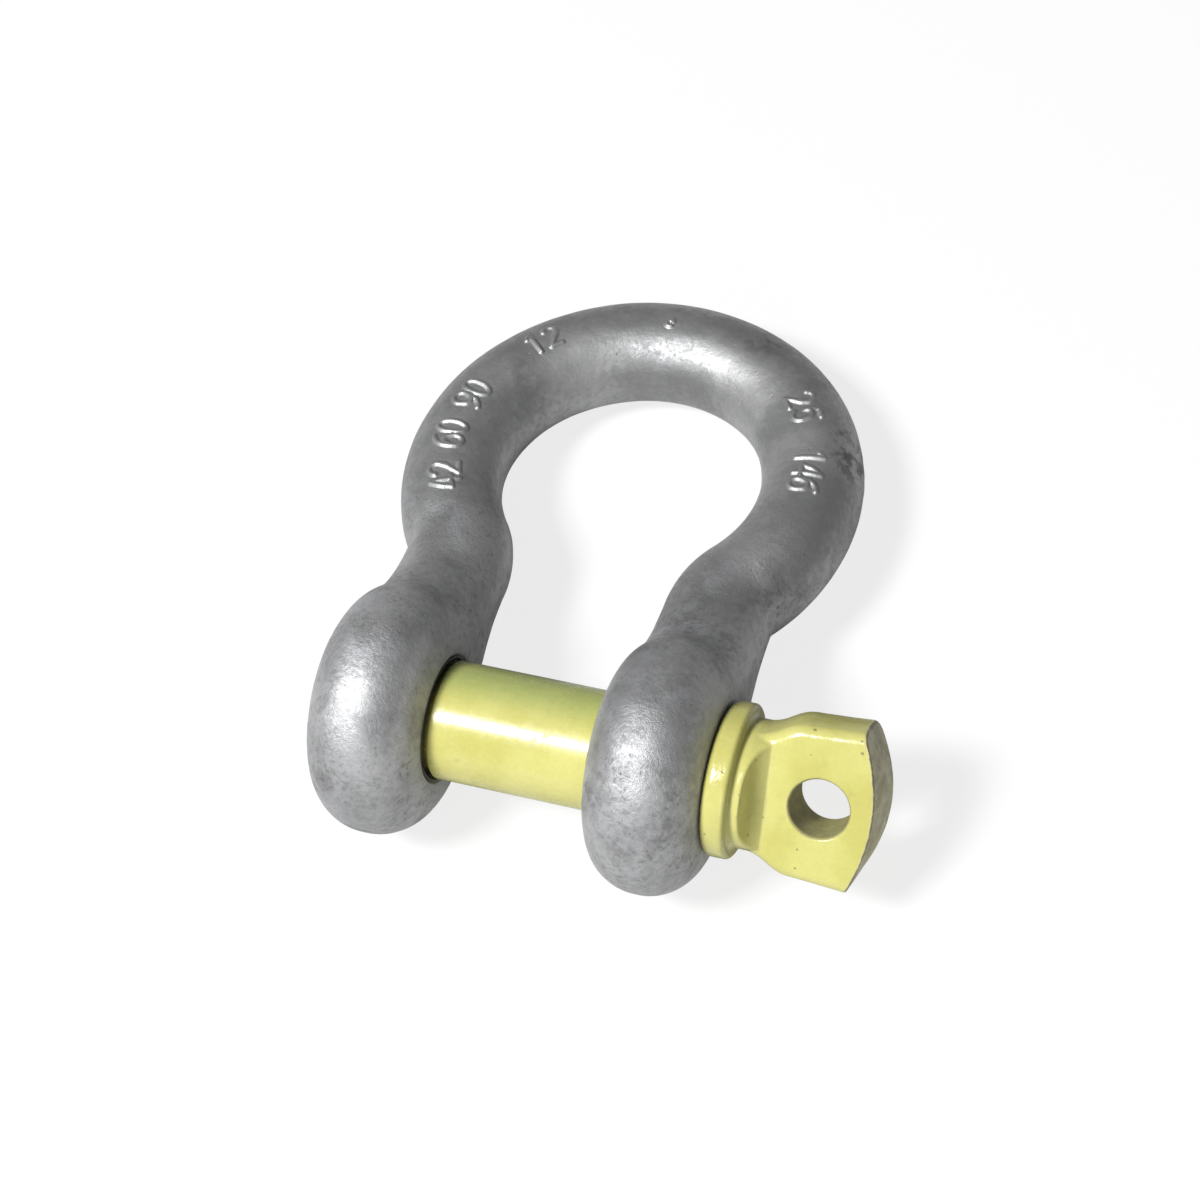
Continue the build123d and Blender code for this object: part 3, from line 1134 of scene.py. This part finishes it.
@dataclass
class PinHead:
    """The collar, the throat, the scooped shoulders and the flat head with its cross hole.

    A place in the head's own frame says how far out it is from the collar's back, how far across
    the head and how far above the head's middle plane. Distances are negative inside.
    """

    lean_degrees: float = 46.7
    collar_back: float = 78.4
    collar_width: float = 8.6
    collar_radius: float = 26.8
    collar_front_round: float = 3.0
    collar_back_round: float = 1.6
    throat_radius: float = 22.4
    throat_length: float = 3.8
    throat_round: float = 1.8
    half_thickness: float = 10.2
    root_half_width: float = 21.6
    swell_start: float = 2.0
    swell_end: float = 22.0
    swell_points: int = 41
    half_width: float = 27.9
    corner_half_width: float = 29.2
    corner_reach: float = 40.2
    tip_reach: float = 48.7
    end_draft: float = 0.1225
    end_bend: float = 57.0
    end_bend_gain: float = 0.88
    end_bend_limit: float = 12.0
    side_round: float = 3.6
    side_crown: float = 45.0
    side_crown_limit: float = 11.0
    end_round: float = 0.8
    shoulder_reach: float = 9.9
    shoulder_hollow: float = 18.0
    shoulder_round: float = 0.7
    shoulder_blend: float = 0.4
    shoulder_end: float = 12.9
    root_depth: float = 4.0
    draft_degrees: float = 7.0
    hole_reach: float = 28.0
    hole_radius: float = 10.25
    hole_bevel: float = 0.8
    hole_round: float = 0.25
    cell: float = 0.5
    worn_span: Span = (1.7, 0.5)
    worn_stretch: float = 2.6

    def sides(self, place: Place) -> np.ndarray:
        """Measure to the head's crowned long sides and flat faces, with the rounds between them.

        Args:
            place: Places in the head's frame.

        Returns:
            Their distances.
        """
        out, across, above = place
        share = np.linspace(0.0, 1.0, self.swell_points)
        start, end = self.swell_start, self.swell_end
        middle = (start + end) / 2
        swell = 3 * share**2 - 2 * share**3
        reach = (1 - share) ** 3 * start + 3 * (1 - share) * share * middle + share**3 * end
        width = self.root_half_width + (self.half_width - self.root_half_width) * swell
        before, after = -60.0, self.corner_reach + 30.0
        gain = (self.corner_half_width - self.half_width) / (self.corner_reach - end)
        last = self.half_width + gain * (after - end)
        reach = np.concatenate([[before], reach, [after]])
        width = np.concatenate([[self.root_half_width], width, [last]])
        slope = np.interp(out + 0.5, reach, width) - np.interp(out - 0.5, reach, width)
        edge = (np.abs(across) - np.interp(out, reach, width)) / np.sqrt(1.0 + slope**2)
        crown = np.minimum(above**2, self.side_crown_limit**2) / (2.0 * self.side_crown)
        return round_both(edge + crown, np.abs(above) - self.half_thickness, self.side_round)

    def ends(self, place: Place) -> np.ndarray:
        """Measure to the head's sheared end, which bends in a slow arc and leans a little.

        Args:
            place: Places in the head's frame.

        Returns:
            Their distances.
        """
        out, across, above = place
        reach = self.tip_reach - self.end_draft * (above + self.half_thickness)
        limit = self.end_bend_limit
        bend = self.end_bend + self.end_bend_gain * np.clip(above, -limit, limit)
        gap = out - reach + across**2 / (2.0 * bend)
        return gap / np.sqrt(1.0 + (across / bend) ** 2 + self.end_draft**2)

    def shoulder(self, place: Place) -> np.ndarray:
        """Measure to the round throat with its two scooped shoulders.

        Args:
            place: Places in the head's frame.

        Returns:
            Their distances.
        """
        out, across, above = place
        draft = math.tan(math.radians(self.draft_degrees))
        radius = self.throat_radius - draft * np.maximum(out - self.throat_length, 0.0)
        disc = np.hypot(across, above) - radius
        start = np.array([self.throat_length, self.throat_radius])
        foot = np.array([self.shoulder_reach, self.half_thickness])
        chord = foot - start
        length = float(np.linalg.norm(chord))
        normal = np.array([-chord[1], chord[0]]) / length
        rise = math.sqrt(self.shoulder_hollow**2 - (length / 2) ** 2)
        centre = (start + foot) / 2 + normal * rise
        scoop = self.shoulder_hollow - np.hypot(out - centre[0], np.abs(above) - centre[1])
        cut = np.where(out < self.throat_length - 1.0, -5.0, scoop)
        body = round_both(disc, cut, self.shoulder_round)
        return np.maximum(np.maximum(body, out - self.shoulder_end), -self.root_depth - out)

    def measure(self, points: np.ndarray) -> np.ndarray:
        """Measure to the whole head.

        Args:
            points: Out, across and above, one place in each row.

        Returns:
            Their distances.
        """
        place = out, across, above = points[:, 0], points[:, 1], points[:, 2]
        rim = np.hypot(across, above) - self.collar_radius
        front = round_both(rim, -self.collar_width - out, self.collar_front_round)
        collar = np.maximum(front, round_both(rim, out, self.collar_back_round))
        turned = round_either(collar, self.shoulder(place), self.throat_round)
        plate = round_both(self.sides(place), self.ends(place), self.end_round)
        plate = np.maximum(plate, -self.collar_width / 2 - out)
        body = round_either(turned, plate, self.shoulder_blend)
        from_hole = np.hypot(out - self.hole_reach, across)
        wall = self.hole_radius - from_hole
        into = self.half_thickness - np.abs(above)
        bevel = (self.hole_radius + self.hole_bevel - into - from_hole) / math.sqrt(2.0)
        return round_both(body, np.maximum(wall, bevel), self.hole_round)

    def marks(self, points: np.ndarray) -> dict[str, np.ndarray]:
        """Mark the crisp edges round the end face, the end face and the wall of the cross hole.

        Args:
            points: Places in the part's frame.

        Returns:
            For each mask, a value from 0 to 1 at each place.
        """
        lean = math.radians(self.lean_degrees)
        across = points[:, 1] * math.cos(lean) + points[:, 2] * math.sin(lean)
        above = points[:, 2] * math.cos(lean) - points[:, 1] * math.sin(lean)
        place = points[:, 0] - self.collar_back, across, above
        end = self.ends(place)
        edge = np.maximum(self.worn_stretch * np.abs(end), np.abs(self.sides(place)))
        from_hole = np.hypot(place[0] - self.hole_reach, across)
        return {
            "worn": ease(edge, *self.worn_span),
            "sheared": ease(end, -0.8, -0.2),
            "grime": ease(from_hole, self.hole_radius + 0.9, self.hole_radius + 0.25),
        }

    def skin(self) -> tuple[np.ndarray, np.ndarray]:
        """Make the head's skin.

        Returns:
            Its points in the part's frame, and its quads.
        """
        low = np.array([-self.collar_width - 1.5, -30.0, -28.5])
        high = np.array([self.tip_reach + 1.5, 30.0, 28.5])
        points, quads = wrap_skin(self.measure, low, high, self.cell)
        lean = math.radians(self.lean_degrees)
        out, across, above = points[:, 0], points[:, 1], points[:, 2]
        y = across * math.cos(lean) - above * math.sin(lean)
        z = across * math.sin(lean) + above * math.cos(lean)
        return np.stack([out + self.collar_back, y, z], axis=-1), quads


@dataclass
class ScrewPin:
    """The pin: threaded end, relief groove, shank and forged head."""

    head: PinHead
    radius: float = 21.0
    shank_end: float = 70.5
    shank_cone: float = 3.0
    thread_end: float = -71.5
    thread_core: float = 18.25
    thread_bevel: float = 0.6
    edge_round: float = 0.3
    core_round: float = 0.1
    relief_near: float = -28.5
    relief_far: float = -39.8
    relief_radius: float = 18.1
    relief_round: float = 1.2
    shank_round: float = 0.6
    shank_points: int = 50
    rings: int = 144
    unevenness: float = 0.16
    hills: Hills = ((0.7, 24.0, 21), (0.3, 9.0, 22))
    hill_start: Span = (-5.0, 3.0)
    # Painted shade on the part of the pin inside the eye, by distance along it.
    bore_shade_span: Span = (-28.9, -30.2)
    thin_start: Span = (75.0, 112.0)
    thin_end: Span = (3.1, 2.9)

    def turned_profile(self) -> np.ndarray:
        """Draw the turned part from its end to inside the collar.

        Returns:
            Its points, along the pin and out from its axis.
        """
        slope = self.radius - self.relief_radius
        corners = [
            (self.thread_end, 0.0, 0.0),
            (self.thread_end, self.thread_core - 0.3, self.edge_round),
            (self.thread_end + self.thread_bevel, self.thread_core, self.edge_round),
            (self.relief_far + slope - 0.2, self.thread_core, self.core_round),
            (self.relief_far + slope, self.relief_radius, self.core_round),
            (self.relief_near - slope, self.relief_radius, self.relief_round),
            (self.relief_near, self.radius, self.shank_round),
            (self.shank_end, self.radius, 0.0),
            (self.shank_end + self.shank_cone, self.radius - self.shank_cone, 0.0),
            (self.shank_end + self.shank_cone, 0.0, 0.0),
        ]
        profile = rounded_corners(corners, steps=4)
        extra = np.linspace(self.relief_near + 2.0, self.shank_end - 0.5, self.shank_points)
        shank = np.stack([extra, np.full(len(extra), self.radius)], axis=-1)
        cut = int(np.argmax(profile[:, 0] > self.shank_end - 1.5))
        return np.concatenate([profile[:cut], shank, profile[cut:]])

    def build(self, look: Material) -> Object:
        """Build the pin and let it stand for its node.

        Args:
            look: Its material.

        Returns:
            The pin.
        """
        shell = Shell()
        angle = np.linspace(0.0, math.tau, self.rings, endpoint=False)
        shell.grid(revolve(self.turned_profile(), rays(angle)), closed=True)
        shell.add(*self.head.skin())
        mesh = shell.mesh("forged_pin", crease_degrees=38.0)
        points, normals = read_points(mesh), read_normals(mesh)
        x, back = points[:, 0], self.head.collar_back
        start, end = self.hill_start
        sink = self.unevenness * ease(x, back + start, back + end)
        sink = sink * layered_hills(points, self.hills)
        write_points(mesh, points - normals * sink[:, None])
        # Painted shade: the side of the shank that faces up and towards the crown is marked darker and
        # greener.
        lie = np.arctan2(points[:, 2], -points[:, 1])
        upper_side = ease(lie, *map(math.radians, self.thin_start)) * ease(lie, *self.thin_end)
        masks = self.head.marks(points)
        masks["turned"] = ease(x, self.shank_end + 0.5, self.shank_end)
        masks["thin"] = upper_side * ease(x, self.shank_end + 0.5, self.shank_end - 0.5)
        # Painted shade on the part of the pin inside the eye.
        masks["hollow"] = ease(x, *self.bore_shade_span)
        for name, values in masks.items():
            write_mask(mesh, name, values)
        piece = place_piece("forged_pin", mesh, Body.PIN, Finish.PAINTED, look)
        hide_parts("screw_pin")
        return piece


# What Geometry Nodes make: the two threads and the raised numbers


@dataclass(frozen=True)
class ThreadForm:
    """One thread's sizes. A thread that grows inwards has a smaller tip than root."""

    root: float
    tip: float
    root_width: float
    crest_width: float
    start: float
    turns: float
    near_end: float
    far_end: float
    near_size: float
    far_size: float
    shift: float = 0.0
    pitch: float = 4.5


class ThreadCutter:
    """Winds a thread's ridge round the pin's axis."""

    turn_steps: int = 72
    strip_points: int = 8
    foot_depth: float = 0.4
    end_gap: float = 0.05
    wall: float = 0.25
    crease_degrees: float = 30.0

    def __init__(self) -> None:
        """Build the tree once."""
        numbers = {input_name(field.name): 1.0 for field in fields(ThreadForm)}
        inputs = {**numbers, "Way": 1.0, "Steps": 200, "Look": "Material"}
        bench, given, result = start_group("Geometry", "thread_ridge", inputs, "Geometry")
        grid = {"Size X": 1.0, "Size Y": 1.0, "Vertices X": self.strip_points}
        strip = bench.put("GeometryNodeMeshGrid", {**grid, "Vertices Y": given["Steps"]})
        at = bench.parts(bench.put("GeometryNodeInputPosition", {}))
        turned = bench.math("MULTIPLY", bench.math("ADD", at["Y"], 0.5), given["Turns"])
        aside = bench.math("MULTIPLY", at["X"], given["Root Width"])
        half_root = bench.math("MULTIPLY", given["Root Width"], 0.5)
        half_crest = bench.math("MULTIPLY", given["Crest Width"], 0.5)
        flank = bench.math("SUBTRACT", half_root, half_crest)
        from_foot = bench.math("SUBTRACT", half_root, bench.math("ABSOLUTE", aside))
        ramp = bench.math("DIVIDE", from_foot, flank, clamp=True)
        height = bench.math("ABSOLUTE", bench.math("SUBTRACT", given["Tip"], given["Root"]))
        foot = bench.math("MULTIPLY", given["Root"], given["Way"])
        size = bench.math("MULTIPLY_ADD", ramp, height, foot)
        along = bench.math("MULTIPLY_ADD", turned, given["Pitch"], given["Start"])
        along = bench.math("ADD", along, aside)
        near = bench.math("ADD", bench.math("SUBTRACT", along, given["Near End"]), given["Near Size"])
        far = bench.math("ADD", bench.math("SUBTRACT", given["Far End"], along), given["Far Size"])
        size = bench.math("MINIMUM", size, bench.math("MINIMUM", near, far))
        size = bench.math("MAXIMUM", size, bench.math("SUBTRACT", foot, self.foot_depth))
        along = bench.math("MAXIMUM", along, bench.math("ADD", given["Near End"], self.end_gap))
        along = bench.math("MINIMUM", along, bench.math("SUBTRACT", given["Far End"], self.end_gap))
        radius = bench.math("MULTIPLY", size, given["Way"])
        angle = bench.math("MULTIPLY_ADD", turned, math.tau, given["Shift"])
        y = bench.math("MULTIPLY", radius, bench.math("COSINE", angle))
        z = bench.math("MULTIPLY", radius, bench.math("SINE", angle))
        place = bench.put("ShaderNodeCombineXYZ", {"X": along, "Y": y, "Z": z})
        wound = bench.put("GeometryNodeSetPosition", {"Geometry": strip, "Position": place})
        wall = bench.math("MULTIPLY", given["Way"], self.wall)
        finish_tree(bench, close_skin(bench, wound, wall), given["Look"], result)
        self.tree = bench.tree

    def cut(self, name: str, form: ThreadForm, look: Material) -> Mesh:
        """Make a thread's ridge.

        Args:
            name: The thread's name.
            form: The thread's sizes.
            look: Its material.

        Returns:
            Its mesh, in millimetres, with faces that point away from the metal.
        """
        outward = form.tip > form.root
        values = {input_name(key): value for key, value in asdict(form).items()}
        values["Way"] = 1.0 if outward else -1.0
        values["Steps"] = round(form.turns * self.turn_steps) + 1
        values["Look"] = look
        mesh = grow(self.tree, bpy.data.meshes.new(name), values)
        if outward:
            mesh.flip_normals()
        mesh.shade_smooth()
        mesh.set_sharp_from_angle(angle=math.radians(self.crease_degrees))
        return mesh


@dataclass
class Threads:
    """The thread on the pin's end and the thread in the eye that takes it."""

    cutter: ThreadCutter
    pin_form: ThreadForm = ThreadForm(18.25, 21.0, 3.74, 0.56, -75.0, 9.2, -71.5, -36.9, 18.5, 18.1)
    eye_form: ThreadForm = ThreadForm(
        21.35, 18.75, 4.05, 1.1, -72.0, 9.8, -69.5, -30.0, -23.1, -23.3, math.pi / 3 * 4
    )

    def build(self, paint: Material, zinc: Material) -> list[Object]:
        """Build both threads.

        Args:
            paint: The pin's material.
            zinc: The bow's material.

        Returns:
            The thread on the pin and the thread in the eye.
        """
        on_pin = self.cutter.cut("pin_thread", self.pin_form, paint)
        points = read_points(on_pin)
        write_mask(on_pin, "worn", ease(np.hypot(points[:, 1], points[:, 2]), 20.0, 20.9))
        in_eye = self.cutter.cut("eye_thread", self.eye_form, zinc)
        # Painted shade: the thread inside the eye is darkened all over.
        write_mask(in_eye, "hollow", np.ones(len(in_eye.vertices)))
        return [
            place_piece("pin_thread", on_pin, Body.PIN, Finish.PAINTED, paint),
            place_piece("eye_thread", in_eye, Body.BOW, Finish.GALVANISED, zinc),
        ]


@dataclass(frozen=True)
class NumberRun:
    """One plain number on the bow, and the bow's angle where it starts."""

    text: str
    start_degrees: float
    height: float = 10.4
    spacing: float = 7.0


@dataclass(frozen=True)
class MarkForm:
    """The sizes of the marks, and of the bar that they stand on."""

    rise: float = 0.75
    top: float = 0.3
    foot: float = 1.35
    least_rise: float = 0.03
    skirt: float = 0.5
    skirt_dip: float = -0.12
    cell: float = 0.3
    bar_radius: float = 0.0
    half_land: float = 0.0
    crown_radius: float = 0.0
    crown_distance: float = 0.0


@dataclass
class RaisedNumbers:
    """Plain numbers that stand up from the forging, read clockwise with their tops outwards."""

    bow: ForgedBow
    runs: tuple[NumberRun, ...] = (
        NumberRun("42 60 90", 209.0),
        NumberRun("12", 141.5, 9.0, 7.6),
        NumberRun("25", 37.0, 9.5, 8.0),
        NumberRun("146", 12.5, 10.0, 6.8),
    )
    slant: float = 0.55
    arc_step_degrees: float = 18.0
    digit_width: float = 0.6
    dot_degrees: float = 93.0
    dot_aside: float = -1.5
    dot_radius: float = 1.3
    wall: float = 0.3
    land_slope: float = 30.0
    crease_degrees: float = 60.0

    def arc(self, middle: tuple, reach: tuple, start: float, end: float) -> list[tuple[float, float]]:
        """Draw part of an ellipse.

        Args:
            middle: Its centre.
            reach: Its half width and half height.
            start: The angle where it starts, in degrees.
            end: The angle where it ends.

        Returns:
            Its points.
        """
        steps = max(6, round(abs(end - start) / self.arc_step_degrees))
        points = []
        for step in range(steps + 1):
            turn = math.radians(start + (end - start) * step / steps)
            x = middle[0] + reach[0] * math.cos(turn)
            points.append((x, middle[1] + reach[1] * math.sin(turn)))
        return points

    def digit(self, sign: str) -> list[tuple[float, float]]:
        """Draw one digit in a box that is 0.6 wide and 1 high.

        Args:
            sign: The digit.

        Returns:
            The points of its one stroke.
        """
        arc = self.arc
        if sign in "69":
            loop = arc((0.56, 0.32), (0.54, 0.68), 98, 180) + arc((0.3, 0.3), (0.28, 0.3), 180, 540)[1:]
            return loop if sign == "6" else [(self.digit_width - x, 1.0 - y) for x, y in loop]
        strokes = {
            "0": arc((0.3, 0.5), (0.28, 0.5), 90, 450),
            "1": [(0.12, 0.78), (0.34, 1.0), (0.34, 0.5), (0.34, 0.0)],
            "2": [*arc((0.3, 0.71), (0.28, 0.29), 165, -35), (0.27, 0.3), (0.02, 0.0), (0.6, 0.0)],
            "4": [(0.44, 0.0), (0.44, 0.5), (0.44, 1.0), (0.2, 0.65), (0.0, 0.32), (0.6, 0.32)],
            "5": [(0.55, 1.0), (0.1, 1.0), (0.06, 0.56), *arc((0.26, 0.33), (0.32, 0.33), 115, -140)],
        }
        return strokes[sign]

    def strokes(self) -> Mesh:
        """Draw every number flat, along the bar by its crown line and up across it, in millimetres."""
        lines = []
        for run in self.runs:
            start = -math.radians(run.start_degrees) * self.bow.crown_radius
            for place, sign in enumerate(run.text):
                if sign == " ":
                    continue
                line = np.array(self.digit(sign)) * run.height
                along = start + place * run.spacing + line[:, 0] * self.slant / self.digit_width
                lines.append(list(zip(along, line[:, 1] - 0.5 * run.height)))
        along = -math.radians(self.dot_degrees) * self.bow.crown_radius
        lines.append(self.arc((along, self.dot_aside), (self.dot_radius,) * 2, 20, 300))
        points, edges = [], []
        for line in lines:
            edges.extend((len(points) + step, len(points) + step + 1) for step in range(len(line) - 1))
            points.extend((float(x), float(y), 0.0) for x, y in line)
        mesh = bpy.data.meshes.new("number_strokes")
        mesh.from_pydata(points, edges, [])
        return mesh

    def tree(self) -> NodeTree:
        """Build the tree that raises flat strokes from a fine skin and bends it round the bar."""
        numbers = {input_name(field.name): 1.0 for field in fields(MarkForm)}
        inputs = {"Base": "Geometry", **numbers, "Look": "Material"}
        bench, given, result = start_group("Geometry", "forged_marks", inputs, "Geometry")
        box = bench.add("GeometryNodeBoundBox")
        bench.link(given["Base"], box.inputs["Geometry"])
        low, high = box.outputs["Min"], box.outputs["Max"]
        middle = bench.add("ShaderNodeMix", data_type="VECTOR")
        for number, value in ((0, 0.5), (4, low), (5, high)):
            bench.feed(middle.inputs[number], value)
        size = bench.add("ShaderNodeVectorMath", operation="SUBTRACT")
        bench.link(high, size.inputs[0])
        bench.link(low, size.inputs[1])
        lengths = bench.parts(size.outputs[0])
        grid = {}
        for axis in ("X", "Y"):
            reach = bench.math("MULTIPLY_ADD", given["Foot"], 3.0, lengths[axis])
            grid["Size " + axis] = reach
            grid["Vertices " + axis] = bench.math("DIVIDE", reach, given["Cell"])
        skin = bench.put("GeometryNodeMeshGrid", grid)
        move = {"Geometry": skin, "Translation": middle.outputs[1]}
        skin = bench.put("GeometryNodeTransform", move)
        near = bench.add("GeometryNodeProximity", target_element="EDGES")
        bench.link(given["Base"], near.inputs[0])
        gap = near.outputs["Distance"]
        far = bench.math("GREATER_THAN", gap, bench.math("ADD", given["Foot"], given["Skirt"]))
        cut = {"Geometry": skin, "Selection": far}
        skin = bench.put("GeometryNodeDeleteGeometry", cut, domain="POINT")
        rise = bench.span(gap, given["Top"], given["Foot"], given["Rise"], given["Least Rise"])
        past = bench.math("SUBTRACT", gap, given["Foot"])
        dip = bench.span(past, 0.0, given["Skirt"], 0.0, given["Skirt Dip"])
        radius = bench.math("SUBTRACT", given["Bar Radius"], given["Half Land"])
        radius = bench.math("ADD", radius, bench.math("ADD", rise, dip))
        at = bench.parts(bench.put("GeometryNodeInputPosition", {}))
        roll = bench.math("DIVIDE", at["Y"], given["Bar Radius"])
        side = bench.math("SINE", roll)
        land = bench.math("MINIMUM", bench.math("MULTIPLY", side, self.land_slope), 1.0)
        land = bench.math("MAXIMUM", land, -1.0)
        out = bench.math("MULTIPLY_ADD", radius, side, bench.math("MULTIPLY", land, given["Half Land"]))
        above = bench.math("MULTIPLY_ADD", radius, bench.math("COSINE", roll), given["Half Land"])
        reach = bench.math("ADD", out, given["Crown Radius"])
        turn = bench.math("MULTIPLY", bench.math("DIVIDE", at["X"], given["Crown Radius"]), -1.0)
        across = bench.math("MULTIPLY", reach, bench.math("COSINE", turn))
        along = bench.math("MULTIPLY_ADD", reach, bench.math("SINE", turn), given["Crown Distance"])
        place = bench.put("ShaderNodeCombineXYZ", {"X": across, "Y": along, "Z": above})
        bent = bench.put("GeometryNodeSetPosition", {"Geometry": skin, "Position": place})
        finish_tree(bench, close_skin(bench, bent, -self.wall), given["Look"], result)
        return bench.tree

    def settle(self, points: np.ndarray) -> np.ndarray:
        """Let the marks down onto the uneven forging.

        Args:
            points: Places on the plain bar, in the bow's own frame.

        Returns:
            The places in the part's frame.
        """
        turn = np.arctan2(points[:, 1] - self.bow.crown_distance, points[:, 0])
        middle = self.bow.crown_radius * np.stack([np.cos(turn), np.sin(turn), 0.0 * turn], axis=-1)
        middle[:, 1] += self.bow.crown_distance
        outward = points - middle
        outward /= np.linalg.norm(outward, axis=1)[:, None]
        return self.bow.lay_down(points - outward * self.bow.sunk(points)[:, None])

    def build(self, look: Material) -> Object:
        """Build the numbers.

        Args:
            look: Their material.

        Returns:
            The piece that holds every number.
        """
        bow = self.bow
        form = MarkForm(
            bar_radius=bow.bar_diameter / 2,
            half_land=bow.half_land,
            crown_radius=bow.crown_radius,
            crown_distance=bow.crown_distance,
        )
        values = {input_name(key): value for key, value in asdict(form).items()}
        mesh = grow(self.tree(), self.strokes(), {**values, "Look": look})
        write_points(mesh, self.settle(read_points(mesh)))
        mesh.shade_smooth()
        mesh.set_sharp_from_angle(angle=math.radians(self.crease_degrees))
        return place_piece("raised_numbers", mesh, Body.BOW, Finish.GALVANISED, look)


# The studio


@dataclass(frozen=True)
class Viewpoint:
    """The camera at the photograph's angle."""

    place: tuple[float, float, float] = (246.5314, -338.3815, 743.4784)
    target: tuple[float, float, float] = (15.2386, 46.8728, 20.0907)
    roll_degrees: float = -16.009
    lens: float = 74.028

    def build(self) -> Object:
        """Set up the camera.

        Returns:
            The camera.
        """
        place = Vector(self.place) * MILLIMETRE
        ahead = (Vector(self.target) * MILLIMETRE - place).normalized()
        level = ahead.cross(Vector((0.0, 0.0, 1.0))).normalized()
        upward = level.cross(ahead)
        roll = math.radians(self.roll_degrees)
        right = level * math.cos(roll) + upward * math.sin(roll)
        up = right.cross(ahead)
        data = bpy.data.cameras.new("camera")
        data.sensor_width = 36.0
        data.lens = self.lens
        data.clip_start = 0.01
        data.clip_end = 50.0
        camera = add_object("camera", data)
        turn = Matrix((right, up, -ahead)).transposed()
        camera.matrix_world = Matrix.Translation(place) @ turn.to_4x4()
        bpy.context.scene.camera = camera
        return camera


@dataclass(frozen=True)
class Lamp:
    """A soft square lamp that faces the shackle."""

    name: str
    toward: tuple[float, float, float]
    distance: float
    size: float
    power: float

    def build(self, centre: Vector) -> None:
        """Hang the lamp.

        Args:
            centre: The point that it faces, in metres.
        """
        data = bpy.data.lights.new(self.name, "AREA")
        data.shape = "SQUARE"
        data.size = self.size
        data.energy = self.power
        lamp = add_object(self.name, data)
        direction = Vector(self.toward).normalized()
        lamp.location = centre + direction * self.distance
        lamp.rotation_euler = direction.to_track_quat("Z", "Y").to_euler()


@dataclass(frozen=True)
class Studio:
    """A pale floor, a white surround and soft lamps."""

    floor_height: float = -45.0
    floor_reach: float = 3000.0
    floor_white: float = 0.85
    floor_bounce: float = 0.55
    floor_lift: float = 0.8
    floor_gleam: float = 0.1
    floor_roughness: float = 0.9
    surround: float = 0.09
    surround_gleam: float = 0.11
    lamp_target: tuple[float, float, float] = (15.0, 60.0, 0.0)
    lamps: tuple[Lamp, ...] = (
        Lamp("key_lamp", (-0.355, -0.385, 0.85), 2.4, 0.52, 80.0),
        Lamp("front_lamp", (0.32, -0.87, 0.34), 1.8, 1.2, 7.5),
    )

    def build_floor(self) -> None:
        """Lay the floor, which shows white and keeps the shackle's shadow."""
        make = Dresser("studio_floor", (self.floor_white,) * 3)
        bench, surface = make.bench, make.surface
        path = bench.add("ShaderNodeLightPath")
        camera = path.outputs["Is Camera Ray"]
        bounce = bench.mix(camera, (self.floor_bounce,) * 3, make.colour)
        bench.link(bounce, surface.inputs["Base Color"])
        surface.inputs["Roughness"].default_value = self.floor_roughness
        seen = bench.math("MAXIMUM", camera, path.outputs["Is Transmission Ray"])
        seen = bench.math("MULTIPLY", seen, self.floor_lift)
        gleam = bench.math("MULTIPLY", path.outputs["Is Glossy Ray"], self.floor_gleam)
        blend = bench.add("ShaderNodeMixShader")
        glow = bench.put("ShaderNodeEmission", {})
        shown = bench.math("MAXIMUM", seen, gleam)
        for number, value in enumerate((shown, surface.outputs["BSDF"], glow)):
            bench.link(value, blend.inputs[number])
        bench.link(blend.outputs["Shader"], bench.tree.nodes["Material Output"].inputs["Surface"])
        mesh = bpy.data.meshes.new("studio_floor")
        work = bmesh.new()
        bmesh.ops.create_grid(work, x_segments=4, y_segments=4, size=self.floor_reach * MILLIMETRE)
        work.to_mesh(mesh)
        work.free()
        mesh.materials.append(make.material)
        floor = add_object("studio_floor", mesh)
        floor.location.z = self.floor_height * MILLIMETRE

    def build_surround(self) -> None:
        """Set the surround, which shows white and lights the shackle more softly."""
        world = bpy.data.worlds.new("surround")
        bpy.context.scene.world = world
        world.use_nodes = True
        bench = NodeBench(world.node_tree)
        light = world.node_tree.nodes["Background"]
        light.inputs["Color"].default_value = (1.0, 1.0, 1.0, 1.0)
        path = bench.add("ShaderNodeLightPath")
        seen = bench.math("MAXIMUM", path.outputs["Is Camera Ray"], path.outputs["Is Transmission Ray"])
        more = self.surround_gleam - self.surround
        level = bench.math("MULTIPLY_ADD", path.outputs["Is Glossy Ray"], more, self.surround)
        bench.link(bench.math("MAXIMUM", seen, level), light.inputs["Strength"])

    def build(self) -> None:
        """Build the floor, the surround and the lamps."""
        self.build_floor()
        self.build_surround()
        for lamp in self.lamps:
            lamp.build(Vector(self.lamp_target) * MILLIMETRE)
        bpy.context.scene.view_settings.view_transform = "Standard"


def main() -> None:
    """Build the shackle and its studio."""
    logging.basicConfig(level=logging.INFO, format="%(message)s")
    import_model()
    Viewpoint().build()
    Studio().build()
    effects = SharedEffects()
    zinc = GalvanisedSteel().build(effects)
    paint = YellowPaint().build(effects)
    bow = ForgedBow()
    pieces = [bow.build(zinc), RaisedNumbers(bow).build(zinc), ScrewPin(PinHead()).build(paint)]
    pieces += Threads(ThreadCutter()).build(paint, zinc)
    for piece in pieces:
        LOG.info("%s has %d faces", piece.name, len(piece.data.polygons))


if __name__ == "__main__":
    main()
